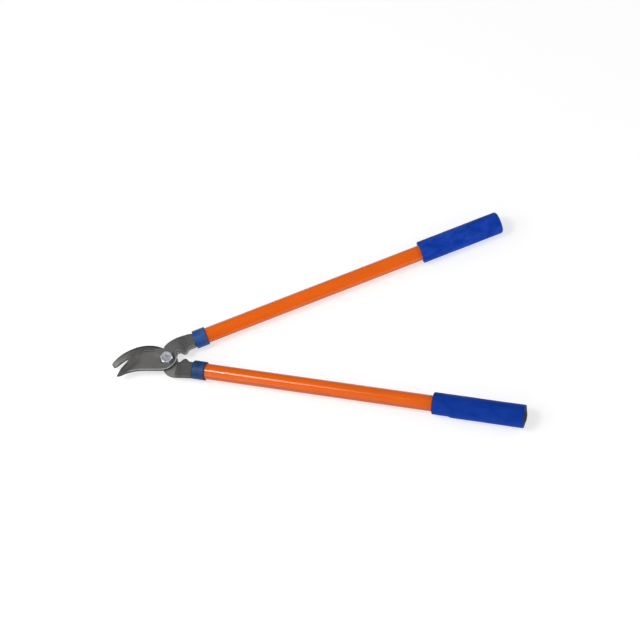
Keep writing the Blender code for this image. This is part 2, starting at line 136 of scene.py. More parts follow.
# ================================================================ helpers: meshes
def finish_mesh(name, verts, faces, mats, sharp=32.0, matrix=None, floats=None):
    """Mesh in row coordinates; its "local" attribute keeps the coordinates it was built in."""
    local = np.asarray(verts, float) * MM
    placed = local
    if matrix is not None:
        m = np.array(matrix)
        placed = local @ m[:3, :3].T + m[:3, 3]
    mesh = bpy.data.meshes.new(name)
    mesh.from_pydata([tuple(v) for v in placed], [], faces)
    mesh.update()
    for m in mats:
        mesh.materials.append(m)
    layer = mesh.attributes.new("local", "FLOAT_VECTOR", "POINT")
    layer.data.foreach_set("vector", np.asarray(local, np.float32).ravel())
    for key, values in (floats or {}).items():
        layer = mesh.attributes.new(key, "FLOAT", "POINT")
        layer.data.foreach_set("value", np.asarray(values, np.float32))
    mesh.shade_smooth()
    mesh.set_sharp_from_angle(angle=math.radians(sharp))
    obj = bpy.data.objects.new(name, mesh)
    bpy.context.scene.collection.objects.link(obj)
    return obj


def piece(obj, body, slot, *nodes):
    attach(obj, body)
    if nodes:
        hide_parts(*nodes)
    return obj


def lathe(name, profile, mats, matrix=None, segments=128, sharp=32.0, bend=None, tone=None, loop=False,
          rim_shade=None):
    """A body turned about local Z from (radius, height) pairs, outer side running down.

    bend(theta, r, h) gives the moved (r, h). A profile that ends on the axis gets a pole
    there; with loop the profile is closed and leaves a bore."""
    prof = [(float(r), float(h)) for r, h in profile]
    verts, faces, tones, rows = [], [], [], []
    thetas = [2 * math.pi * k / segments for k in range(segments)]
    for i, (r, h) in enumerate(prof):
        if r <= 1e-9:
            rr, hh = bend(0.0, 0.0, h) if bend else (0.0, h)
            rows.append([len(verts)])
            verts.append((0.0, 0.0, hh))
            tones.append(tone(0.0, 0.0, h) if tone else 1.0)
            continue
        row = []
        for th in thetas:
            rr, hh = bend(th, r, h) if bend else (r, h)
            row.append(len(verts))
            verts.append((rr * math.cos(th), rr * math.sin(th), hh))
            tones.append(tone(th, r, h) if tone else 1.0)
        rows.append(row)
    pairs = list(zip(rows, rows[1:]))
    if loop:
        pairs.append((rows[-1], rows[0]))
    for a, b in pairs:
        for k in range(segments):
            j = (k + 1) % segments
            if len(a) == 1 and len(b) == 1:
                continue
            if len(a) == 1:
                faces.append((a[0], b[k], b[j]))
            elif len(b) == 1:
                faces.append((a[k], b[0], a[j]))
            else:
                faces.append((a[k], b[k], b[j], a[j]))
    floats = {"tone": tones}
    if rim_shade:
        floats["rim_shade"] = [rim_shade(v[2]) for v in verts]
    return finish_mesh(name, verts, faces, mats, sharp, matrix, floats)


# ================================================================ helpers: plates from a plan
class Outline:
    """A closed plan outline whose points carry named values, smoothed along its length."""

    def __init__(self, sections, blur=1.2, limit=1.1):
        pts, vals, keys = [], [], sorted({k for _, v in sections for k in v})
        for points, values in sections:
            for p in points:
                if pts and math.dist(pts[-1], p) < 1e-4:
                    continue
                if pts and math.dist(pts[-1], p) > limit:
                    n = int(math.dist(pts[-1], p) / limit) + 1
                    a, va = pts[-1], vals[-1]
                    for i in range(1, n):
                        pts.append((a[0] + (p[0] - a[0]) * i / n, a[1] + (p[1] - a[1]) * i / n))
                        vals.append([values.get(k, 0.0) for k in keys])
                pts.append(p)
                vals.append([values.get(k, 0.0) for k in keys])
        if math.dist(pts[0], pts[-1]) < 1e-4:
            pts.pop(), vals.pop()
        a, p = pts[-1], pts[0]
        n = int(math.dist(a, p) / limit) + 1
        for i in range(1, n):
            pts.append((a[0] + (p[0] - a[0]) * i / n, a[1] + (p[1] - a[1]) * i / n))
            vals.append(vals[-1])
        self.p = np.array(pts, float)
        area = 0.5 * np.sum(self.p[:, 0] * np.roll(self.p[:, 1], -1) - np.roll(self.p[:, 0], -1) * self.p[:, 1])
        v = np.array(vals, float)
        if area < 0:
            self.p, v = self.p[::-1].copy(), v[::-1].copy()
        self.q = np.roll(self.p, -1, axis=0)
        seg = np.linalg.norm(self.q - self.p, axis=1)
        total = seg.sum()
        where = np.concatenate(([0.0], np.cumsum(seg)[:-1]))
        gap = np.abs(where[:, None] - where[None])
        gap = np.minimum(gap, total - gap)
        w = np.exp(-0.5 * (gap / blur) ** 2) * seg[None]
        self.v = (w @ v) / w.sum(axis=1)[:, None]
        self.keys = {k: i for i, k in enumerate(keys)}

    def look(self, pts):
        """Distance to the outline, and the values at the nearest point of it."""
        dist = np.empty(len(pts))
        vals = np.empty((len(pts), self.v.shape[1]))
        d = self.q - self.p
        dd = (d ** 2).sum(1)
        nxt = np.roll(self.v, -1, axis=0)
        for i in range(0, len(pts), 2000):
            c = pts[i:i + 2000]
            t = clamp(((c[:, None] - self.p[None]) * d[None]).sum(2) / dd[None])
            foot = self.p[None] + t[..., None] * d[None]
            g = ((c[:, None] - foot) ** 2).sum(2)
            k = g.argmin(1)
            rows = np.arange(len(c))
            dist[i:i + 2000] = np.sqrt(g[rows, k])
            tt = t[rows, k][:, None]
            vals[i:i + 2000] = self.v[k] * (1 - tt) + nxt[k] * tt
        return dist, vals

    def value(self, vals, key):
        return vals[:, self.keys[key]]

    def inside(self, pts):
        x, y = pts[:, 0][:, None], pts[:, 1][:, None]
        xa, ya, xb, yb = self.p[:, 0][None], self.p[:, 1][None], self.q[:, 0][None], self.q[:, 1][None]
        dy = np.where(np.abs(yb - ya) < 1e-12, 1e-12, yb - ya)
        hit = ((ya > y) != (yb > y)) & (x < (xb - xa) * (y - ya) / dy + xa)
        return hit.sum(1) % 2 == 1


def near(pts, line):
    """Distance from points to an open polyline, and the position along it from 0 to 1."""
    a, b = np.array(line[:-1], float), np.array(line[1:], float)
    d = b - a
    seg = np.sqrt((d ** 2).sum(1))
    start = np.concatenate(([0.0], np.cumsum(seg)[:-1]))
    dist, along = np.empty(len(pts)), np.empty(len(pts))
    for i in range(0, len(pts), 2000):
        c = pts[i:i + 2000]
        t = clamp(((c[:, None] - a[None]) * d[None]).sum(2) / (seg ** 2)[None])
        g = ((c[:, None] - a[None] - t[..., None] * d[None]) ** 2).sum(2)
        k = g.argmin(1)
        rows = np.arange(len(c))
        dist[i:i + 2000] = np.sqrt(g[rows, k])
        along[i:i + 2000] = (start[k] + t[rows, k] * seg[k]) / seg.sum()
    return dist, along


def plate(name, outline, hole_r, lines, top, bottom, tones, mats, rings, spacing=1.25, levels=2, sharp=30.0):
    """A solid over a plan outline: top and bottom heights are functions of the plan."""
    ring_pts = []
    mid = (outline.p + outline.q) / 2
    d = outline.q - outline.p
    inward = np.stack([-d[:, 1], d[:, 0]], 1) / np.linalg.norm(d, axis=1)[:, None]
    for i, r in enumerate(rings):
        base = mid if i % 2 == 0 else outline.p
        nrm = inward if i % 2 == 0 else inward + np.roll(inward, 1, axis=0)
        nrm = nrm / np.linalg.norm(nrm, axis=1)[:, None]
        cand = base + nrm * r
        keep = outline.inside(cand)
        cand = cand[keep]
        dist, _ = outline.look(cand)
        ring_pts.append(cand[dist > r * 0.97])
    lo, hi = outline.p.min(0), outline.p.max(0)
    nx, ny = int((hi[0] - lo[0]) / spacing) + 2, int((hi[1] - lo[1]) / (spacing * 0.866)) + 2
    grid = np.array([(lo[0] + (i + 0.5 * (j % 2)) * spacing, lo[1] + j * spacing * 0.866)
                     for j in range(ny) for i in range(nx)])
    grid = grid[outline.inside(grid)]
    dist, _ = outline.look(grid)
    grid = grid[dist > rings[-1] + spacing * 0.45]
    hole = np.array(arc(0, 0, hole_r, 0, 360, 72)[:-1])
    hole2 = np.array(arc(0, 0, hole_r + 0.6, 2.5, 362.5, 72)[:-1])
    grid = grid[np.hypot(grid[:, 0], grid[:, 1]) > hole_r + 1.0]
    free = [p for p in ring_pts + [grid] if len(p)]
    free = np.vstack(free)
    for line in lines:
        g, _ = near(free, line)
        free = free[g > 0.32]
    coords = [tuple(p) for p in outline.p]
    edges = [(i, (i + 1) % len(coords)) for i in range(len(coords))]
    n0 = len(coords)
    coords += [tuple(p) for p in hole]
    edges += [(n0 + i, n0 + (i + 1) % len(hole)) for i in range(len(hole))]
    coords += [tuple(p) for p in hole2]
    for line in lines:
        n0 = len(coords)
        coords += [tuple(p) for p in line]
        edges += [(n0 + i, n0 + i + 1) for i in range(len(line) - 1)]
    coords += [tuple(p) for p in free]
    out = delaunay_2d_cdt([Vector(c) for c in coords], edges, [], 0, 1e-7)
    pts = np.array([(v.x, v.y) for v in out[0]])
    tris = np.array([f for f in out[2] if len(f) == 3])
    cen = pts[tris].mean(1)
    keep = outline.inside(cen) & (np.hypot(cen[:, 0], cen[:, 1]) > hole_r)
    tris = tris[keep]
    a, b, c = pts[tris[:, 0]], pts[tris[:, 1]], pts[tris[:, 2]]
    area = (b[:, 0] - a[:, 0]) * (c[:, 1] - a[:, 1]) - (c[:, 0] - a[:, 0]) * (b[:, 1] - a[:, 1])
    tris = tris[np.abs(area) > 1e-9]
    area = area[np.abs(area) > 1e-9]
    tris[area < 0] = tris[area < 0][:, ::-1]
    used = np.unique(tris)
    remap = -np.ones(len(pts), int)
    remap[used] = np.arange(len(used))
    pts, tris = pts[used], remap[tris]
    dist, vals = outline.look(pts)
    zt, zb = top(pts, dist, vals), bottom(pts, dist, vals)
    n = len(pts)
    verts = np.vstack([np.column_stack([pts, zt]), np.column_stack([pts, zb])])
    faces = [tuple(map(int, t)) for t in tris] + [tuple(int(n + i) for i in t[::-1]) for t in tris]
    directed = {}
    for t in tris:
        for k in range(3):
            directed[(int(t[k]), int(t[(k + 1) % 3]))] = True
    rim = [e for e in directed if (e[1], e[0]) not in directed]
    rim_pts = sorted({i for e in rim for i in e})
    wall, extra = {}, []
    for i in rim_pts:
        column = [i]
        for k in range(1, levels + 1):
            f = k / (levels + 1)
            column.append(2 * n + len(extra))
            extra.append((pts[i, 0], pts[i, 1], zt[i] * (1 - f) + zb[i] * f))
        column.append(n + i)
        wall[i] = column
    for a, b in rim:
        for k in range(levels + 1):
            faces.append((wall[a][k], wall[a][k + 1], wall[b][k + 1], wall[b][k]))
    verts = np.vstack([verts, np.array(extra).reshape(-1, 3)])
    floats = {}
    ext_vals = np.array([vals[i] for i in rim_pts for _ in range(levels)])
    ext_pts = np.array([pts[i] for i in rim_pts for _ in range(levels)])
    depth = np.array([k / (levels + 1) for _ in rim_pts for k in range(1, levels + 1)])
    for key, fn in tones.items():
        t = fn(pts, dist, vals, "top")
        bt = fn(pts, dist, vals, "bottom")
        w = fn(ext_pts, depth, ext_vals, "wall")
        floats[key] = np.concatenate([t, bt, w])
    return finish_mesh(name, verts, faces, mats, sharp, None, floats)


def bumps(pts, scale, seed, z=0.0):
    """Smooth deterministic noise over plan points, about -1 to 1."""
    return np.array([noise.noise(Vector((p[0] / scale + seed, p[1] / scale - seed, z))) for p in pts])


# ================================================================ materials
def new_material(name):
    mat = bpy.data.materials.new(name)
    mat.use_nodes = True
    nt = mat.node_tree
    shader = nt.nodes["Principled BSDF"]
    return mat, nt, shader


def node(nt, kind, **inputs):
    n = nt.nodes.new(kind)
    for k, v in inputs.items():
        key = k.replace("_", " ")
        if hasattr(v, "is_output"):
            nt.links.new(v, n.inputs[key])
        else:
            n.inputs[key].default_value = v
    return n


PLAIN = [False]               # True while a material for a carried-over CAD node is made


def object_coords(nt, scale=(1, 1, 1), rotation=(0, 0, 0)):
    m = nt.nodes.new("ShaderNodeMapping")
    m.inputs["Scale"].default_value = scale
    m.inputs["Rotation"].default_value = rotation
    if PLAIN[0]:
        tex = nt.nodes.new("ShaderNodeTexCoord")
        nt.links.new(tex.outputs["Object"], m.inputs["Vector"])
    else:
        tex = nt.nodes.new("ShaderNodeAttribute")
        tex.attribute_name = "local"
        nt.links.new(tex.outputs["Vector"], m.inputs["Vector"])
    return m.outputs["Vector"]


def noise_at(nt, vector, scale, detail=4.0, rough=0.55, distortion=0.0):
    n = node(nt, "ShaderNodeTexNoise", Vector=vector, Scale=scale, Detail=detail, Roughness=rough,
             Distortion=distortion)
    return n.outputs["Fac"]


def remap(nt, value, a, b, c, d):
    n = node(nt, "ShaderNodeMapRange", Value=value)
    n.inputs["From Min"].default_value = a
    n.inputs["From Max"].default_value = b
    n.inputs["To Min"].default_value = c
    n.inputs["To Max"].default_value = d
    return n.outputs["Result"]


def math_op(nt, op, a, b=None):
    n = nt.nodes.new("ShaderNodeMath")
    n.operation = op
    for i, v in enumerate((a, b)):
        if v is None:
            continue
        if hasattr(v, "is_output"):
            nt.links.new(v, n.inputs[i])
        else:
            n.inputs[i].default_value = v
    return n.outputs[0]


def mix_colour(nt, fac, a, b, blend="MIX"):
    n = nt.nodes.new("ShaderNodeMix")
    n.data_type = "RGBA"
    n.blend_type = blend
    for key, v in (("Factor", fac), ("A", a), ("B", b)):
        sock = [s for s in n.inputs if s.name == key and (s.type == "RGBA" if key != "Factor" else s.type == "VALUE")][0]
        if hasattr(v, "is_output"):
            nt.links.new(v, sock)
        else:
            sock.default_value = v
    return [s for s in n.outputs if s.type == "RGBA"][0]


def scaled(nt, colour, factor):
    n = nt.nodes.new("ShaderNodeVectorMath")
    n.operation = "SCALE"
    if hasattr(colour, "is_output"):
        nt.links.new(colour, n.inputs[0])
    else:
        n.inputs[0].default_value = colour[:3]
    nt.links.new(factor, n.inputs["Scale"])
    return n.outputs["Vector"]


def attribute(nt, name):
    if PLAIN[0]:
        return remap(nt, noise_at(nt, object_coords(nt), 120.0, 3.0), 0.3, 0.7, 0.9, 1.1)
    n = nt.nodes.new("ShaderNodeAttribute")
    n.attribute_name = name
    return n.outputs["Fac"]


def bump(nt, height, distance, strength=1.0, normal=None):
    n = node(nt, "ShaderNodeBump", Height=height)
    n.inputs["Distance"].default_value = distance
    n.inputs["Strength"].default_value = strength
    if normal is not None:
        nt.links.new(normal, n.inputs["Normal"])
    return n.outputs["Normal"]


def rgba(r, g, b):
    return (r, g, b, 1.0)


def steel(name, ground, forged, grind_deg):
    """Ground and forged carbon steel; the meshes' forged values say where is which, and their tone values scale the
    colour, mostly with painted light and shade.
    """
    mat, nt, sh = new_material(name)
    is_forged = attribute(nt, "forged")
    tone = attribute(nt, "tone")
    flat = object_coords(nt)
    # brushed lines of the surface grinder on the ground faces
    lines = noise_at(nt, object_coords(nt, (180, 5200, 900), (0, 0, math.radians(grind_deg))), 1.0, 3.0, 0.7)
    clouds = noise_at(nt, flat, 55.0, 3.0, 0.5)
    scale = noise_at(nt, flat, 420.0, 6.0, 0.62)
    pits = noise_at(nt, flat, 1500.0, 2.0, 0.5)
    base = mix_colour(nt, is_forged, rgba(*ground), rgba(*forged))
    line_amount = remap(nt, lines, 0.25, 0.75, 0.90, 1.10)
    scale_amount = remap(nt, scale, 0.3, 0.7, 0.78, 1.22)
    surface = node(nt, "ShaderNodeMix", Factor=is_forged)
    nt.links.new(line_amount, surface.inputs[2])
    nt.links.new(scale_amount, surface.inputs[3])
    factor = math_op(nt, "MULTIPLY", surface.outputs[0], remap(nt, clouds, 0.25, 0.75, 0.90, 1.10))
    factor = math_op(nt, "MULTIPLY", factor, tone)
    base = scaled(nt, base, factor)
    # faint brown bloom of old oil
    bloom = remap(nt, noise_at(nt, flat, 38.0, 2.0, 0.5), 0.45, 0.75, 0.0, 0.30)
    base = mix_colour(nt, bloom, base, mix_colour(nt, 1.0, base, rgba(1.08, 0.97, 0.92), "MULTIPLY"))
    nt.links.new(base, sh.inputs["Base Color"])
    dull = attribute(nt, "dull")
    nt.links.new(remap(nt, dull, 0.0, 1.0, 0.72, 0.12), sh.inputs["Metallic"])
    sh.inputs["Specular IOR Level"].default_value = 0.3
    rough = node(nt, "ShaderNodeMix", Factor=is_forged)
    nt.links.new(remap(nt, lines, 0.2, 0.8, 0.36, 0.48), rough.inputs[2])
    nt.links.new(remap(nt, scale, 0.2, 0.8, 0.44, 0.64), rough.inputs[3])
    nt.links.new(math_op(nt, "ADD", rough.outputs[0], math_op(nt, "MULTIPLY", dull, 0.25)), sh.inputs["Roughness"])
    height = node(nt, "ShaderNodeMix", Factor=is_forged)
    nt.links.new(math_op(nt, "MULTIPLY", lines, 0.06), height.inputs[2])
    nt.links.new(math_op(nt, "ADD", scale, math_op(nt, "MULTIPLY", pits, 0.25)), height.inputs[3])
    nt.links.new(bump(nt, height.outputs[0], 0.00022, 0.8), sh.inputs["Normal"])
    return mat


def zinc(name, colour, rough=0.30):
    mat, nt, sh = new_material(name)
    flat = object_coords(nt)
    grain = noise_at(nt, flat, 900.0, 5.0, 0.6)
    clouds = noise_at(nt, flat, 160.0, 3.0, 0.5)
    factor = math_op(nt, "MULTIPLY", remap(nt, grain, 0.3, 0.7, 0.92, 1.08), remap(nt, clouds, 0.3, 0.7, 0.90, 1.10))
    factor = math_op(nt, "MULTIPLY", factor, attribute(nt, "tone"))
    nt.links.new(scaled(nt, colour, factor), sh.inputs["Base Color"])
    sh.inputs["Metallic"].default_value = 0.9
    nt.links.new(remap(nt, clouds, 0.2, 0.8, rough - 0.06, rough + 0.10), sh.inputs["Roughness"])
    nt.links.new(bump(nt, grain, 0.00005, 0.6), sh.inputs["Normal"])
    return mat


def paint(name, colour):
    mat, nt, sh = new_material(name)
    flat = object_coords(nt)
    peel = noise_at(nt, flat, 420.0, 2.0, 0.5)
    clouds = noise_at(nt, object_coords(nt, (1, 1, 0.25)), 60.0, 3.0, 0.5)
    factor = math_op(nt, "MULTIPLY", remap(nt, clouds, 0.3, 0.7, 0.95, 1.05), attribute(nt, "tone"))
    nt.links.new(scaled(nt, colour, factor), sh.inputs["Base Color"])
    nt.links.new(remap(nt, clouds, 0.3, 0.7, 0.12, 0.18), sh.inputs["Roughness"])
    sh.inputs["Specular IOR Level"].default_value = 0.5
    nt.links.new(bump(nt, peel, 0.00002, 0.5), sh.inputs["Normal"])
    return mat


def vinyl(name, colour, light, rough=0.46, mottle=0.25, grain=0.00006, level=0.12, rim_shade_colour=None):
    mat, nt, sh = new_material(name)
    flat = object_coords(nt)
    patches = noise_at(nt, object_coords(nt, (1, 1, 0.6)), 70.0, 4.0, 0.6, 0.4)
    fine = noise_at(nt, flat, 800.0, 4.0, 0.6)
    mixed = mix_colour(nt, remap(nt, patches, 0.35, 0.7, 0.0, mottle * 2), rgba(*colour), rgba(*light))
    # brownish painted shade mixed in toward a collar's rim
    if rim_shade_colour:
        mixed = mix_colour(nt, attribute(nt, "rim_shade"), mixed, rgba(*rim_shade_colour))
    factor = math_op(nt, "MULTIPLY", remap(nt, fine, 0.3, 0.7, 0.94, 1.06), attribute(nt, "tone"))
    nt.links.new(scaled(nt, mixed, factor), sh.inputs["Base Color"])
    nt.links.new(remap(nt, patches, 0.3, 0.7, rough - 0.06, rough + 0.08), sh.inputs["Roughness"])
    sh.inputs["Specular IOR Level"].default_value = level
    nt.links.new(bump(nt, math_op(nt, "ADD", fine, math_op(nt, "MULTIPLY", patches, 2.0)), grain, 0.8),
                 sh.inputs["Normal"])
    return mat


STEEL_BLADE = steel("blade_steel", (0.178, 0.175, 0.172), (0.144, 0.146, 0.143), 84.0)
STEEL_HOOK = steel("hook_steel", (0.275, 0.274, 0.264), (0.118, 0.119, 0.119), 60.0)
ZINC = zinc("zinc_plate", (0.70, 0.73, 0.78))
ZINC_NUT = zinc("zinc_plate_nut", (0.62, 0.64, 0.68), 0.34)
NYLON = vinyl("nylon_ring", (0.72, 0.71, 0.67), (0.80, 0.79, 0.76), 0.5, 0.2, 0.00003)
ORANGE = paint("orange_paint", (0.85, 0.130, 0.003))
BLUE_GRIP_U = vinyl("blue_vinyl_closed", (0.004, 0.040, 0.34), (0.018, 0.076, 0.52), mottle=0.45, level=0.05)
BLUE_GRIP_L = vinyl("blue_vinyl_open", (0.002, 0.036, 0.30), (0.010, 0.050, 0.36), mottle=0.45, level=0.05)
COLLAR_U = vinyl("blue_collar_upper", (0.013, 0.067, 0.265), (0.046, 0.127, 0.415), 0.40, 0.45, level=0.25,
                 rim_shade_colour=(0.16, 0.10, 0.09))
COLLAR_L = vinyl("blue_collar_lower", (0.010, 0.046, 0.145), (0.034, 0.090, 0.245), 0.40, 0.45, level=0.15,
                 rim_shade_colour=(0.17, 0.085, 0.05))
PLUG = vinyl("plug_plastic", (0.006, 0.0065, 0.005), (0.014, 0.0145, 0.010), 0.5, 0.3)
PLAIN[0] = True
LINER = vinyl("liner", (0.10, 0.11, 0.13), (0.14, 0.15, 0.17), 0.6, 0.2)
RIVET = zinc("rivet_steel", (0.35, 0.35, 0.34), 0.4)
PLAIN[0] = False


# ================================================================ levers
STEP_NEAR = (15.5, 7.5)
STEP_FAR = (9.0, 32.8)
STEP_K = (STEP_FAR[0] - STEP_NEAR[0]) / (STEP_FAR[1] - STEP_NEAR[1])


def past_step(pts, sign):
    """Plan distance on the tang's side of the half-lap step (sign +1 cutting lever, -1 hook lever)."""
    return pts[:, 0] - (STEP_NEAR[0] + STEP_K * (pts[:, 1] * sign - STEP_NEAR[1]))


def step_line(sign, shift):
    return [(STEP_NEAR[0] + STEP_K * (y - STEP_NEAR[1]) + shift, y * sign) for y in np.arange(-60.0, 70.1, 1.3)]


def shank_points(handle):
    s0, s1, w = handle.tang_end, handle.shank_end, 8.0
    return [handle.at(s0, -w), handle.at(s1 - 2.0, -w), handle.at(s1, 2.0 - w),
            handle.at(s1, w - 2.0), handle.at(s1 - 2.0, w), handle.at(s0, w)]


def forged_side(flat, d, half, centre, soft=0.0):
    """Height over the parting line of a forged side: draft, then a rounded shoulder."""
    shoulder, r = 0.22 + 0.33 * soft, 0.45 + 0.70 * soft
    rise = flat - centre - half
    z = centre + half + (rise - r) * clamp(d / shoulder)
    t = clamp((d - shoulder) / r)
    return np.where(d < shoulder, z, centre + half + rise - r + r * np.sqrt(clamp(1 - (1 - t) ** 2)))


EDGE_PTS = [
    (-7.9, 20.9), (-11.6, 22.7), (-18.5, 24.2), (-25.9, 25.2), (-33.2, 26.0),
    (-39.7, 26.4), (-46.3, 25.9), (-52.0, 24.1), (-57.1, 20.8), (-61.4, 16.3),
    (-64.9, 11.2), (-68.5, 6.3), (-72.5, 1.9), (-76.6, -2.6), (-80.1, -8.4),
    (-83.4, -15.1)]
EDGE = smooth(EDGE_PTS, 8)
SPINE = smooth([
    (-83.5, -17.7), (-81.0, -17.9), (-76.7, -17.1), (-70.1, -14.9), (-60.6, -13.1),
    (-51.3, -12.5), (-41.0, -13.0), (-29.0, -14.6), (-17.8, -16.3), (-10.8, -17.1),
    (-5.6, -17.1), (-1.0, -16.4), (2.9, -15.0), (5.6, -13.0)], 8)
# border of the grind toward the point, closed far outside the blade
GRIND = Outline([([(-39.0, 40.0), (-39.6, 24.0), (-40.7, 17.2), (-42.3, 13.8), (-44.3, 6.8), (-44.7, 1.4),
                   (-45.9, -2.0), (-51.3, -4.0), (-53.7, -6.4), (-54.8, -8.9), (-58.6, -11.6), (-65.1, -13.8),
                   (-74.0, -30.0), (-110.0, -30.0), (-110.0, 40.0)], {"any": 1.0})], limit=4.0)

# the "wall" values are levels of painted light and shade on the side walls; "lit" marks the notch side, whose parting
# line lies lower and whose faces get painted light
FORGED = {"forged": 1.0, "wall": 1.0}
CUT = Outline([
    (shank_points(UPPER), dict(FORGED)),
    (smooth([UPPER.at(UPPER.tang_end, 10.8), UPPER.at(47.0, 12.1), UPPER.at(44.0, 13.0),
             UPPER.at(37.7, 13.5), UPPER.at(29.9, 13.3), UPPER.at(22.6, 12.6), UPPER.at(15.0, 11.5),
             UPPER.at(9.5, 10.0), UPPER.at(5.0, 7.9), (-5.2, 23.6), (-6.6, 21.2)], 5), dict(FORGED)),
    (EDGE, {"edge": 1.0, "wall": 1.3}),
    ([(-84.0, -17.0)], {"edge": 1.0, "wall": 1.1}),
    (SPINE, {"chamfer": 1.0, "wall": 0.66}),
    (arc(0, 0, BOSS_R, -60, 0, 21), {"chamfer": 1.0, "wall": 1.1}),
    (smooth([(13.9, 2.6), (15.1, 5.7), (15.2, 8.6), (15.3, 11.0), (16.2, 12.1), (18.2, 12.2),
             (20.5, 11.6), (22.9, 10.0), (25.5, 8.9), (28.3, 8.9), (30.5, 10.5), (32.2, 13.2), (34.4, 15.7),
             (37.4, 17.0), (41.4, 18.3), UPPER.at(UPPER.tang_end, -11.9)], 4), {"forged": 1.0, "wall": 1.0, "lit": 1.0}),
])

CUT_FLAT = SHEAR + BLADE_T
BEVEL_Z = SHEAR + 0.5
CHAMFER = 0.65
PARTING = 2.3                # the dies' parting line lies lower along the notch side


def fade(lo, hi, v):
    """One below lo, falling smoothly to nothing at hi."""
    return 1.0 - step(lo, hi, v)


def hill(v, centre, half):
    return np.exp(-((v - centre) / half) ** 2)


def bevel_width(t):
    """Width of the grind from the heel (0) to the point (1) of the blade."""
    return 7.6 - 5.4 * (1 - step(0.03, 0.20, t)) + 6.4 * step(0.42, 0.62, t) - 5.4 * step(0.76, 1.0, t)


def cut_top(pts, d, vals):
    s = UPPER.along(pts)
    ramp = step(21.5, 40.0, s)
    flat = CUT_FLAT * (1 - ramp) + (SHEAR + TANG_HALF_T) * ramp
    forged = CUT.value(vals, "forged")
    zone = step(12.0, 26.0, s)
    uneven = (0.10 * bumps(pts, 9.0, 3.1) + 0.05 * bumps(pts, 3.2, 8.7)) * zone
    lit = CUT.value(vals, "lit")
    z_forged = forged_side(flat + uneven, d, 0.25, SHEAR - PARTING * lit, 0.6 * lit)
    chamfer = CHAMFER * CUT.value(vals, "chamfer")
    z_ground = flat + uneven - clamp(chamfer - d, 0.0, 9.0) * 0.92
    z = z_ground * (1 - forged) + z_forged * forged
    ed, t = near(pts, EDGE)
    slope = (CUT_FLAT - BEVEL_Z) / bevel_width(t)
    bevel = BEVEL_Z + slope * ed
    # slightly hollow grind with a soft upper border
    soft = 0.35
    z = np.minimum(z, bevel) - clamp(soft - np.abs(z - bevel), 0.0, soft) ** 2 / (4 * soft)
    return np.maximum(z, BEVEL_Z - 0.02)


def cut_bottom(pts, d, vals):
    forged = CUT.value(vals, "forged")
    tang = step(-0.06, 0.06, past_step(pts, 1))
    s = UPPER.along(pts)
    uneven = (0.10 * bumps(pts, 8.0, 13.1) + 0.05 * bumps(pts, 3.0, 18.7)) * step(22.0, 30.0, s)
    line = SHEAR - PARTING * CUT.value(vals, "lit")
    low = 2 * line - forged_side(2 * line - (SHEAR - TANG_HALF_T - uneven), d, 0.25, line)
    boss = SHEAR + GAP / 2 + clamp(0.35 - d, 0.0, 1.0) * 0.8 * (1 - CUT.value(vals, "edge")) * (1 - forged)
    z = boss * (1 - tang) + low * tang
    # on the boss side the parting line ends at the lap face
    return z


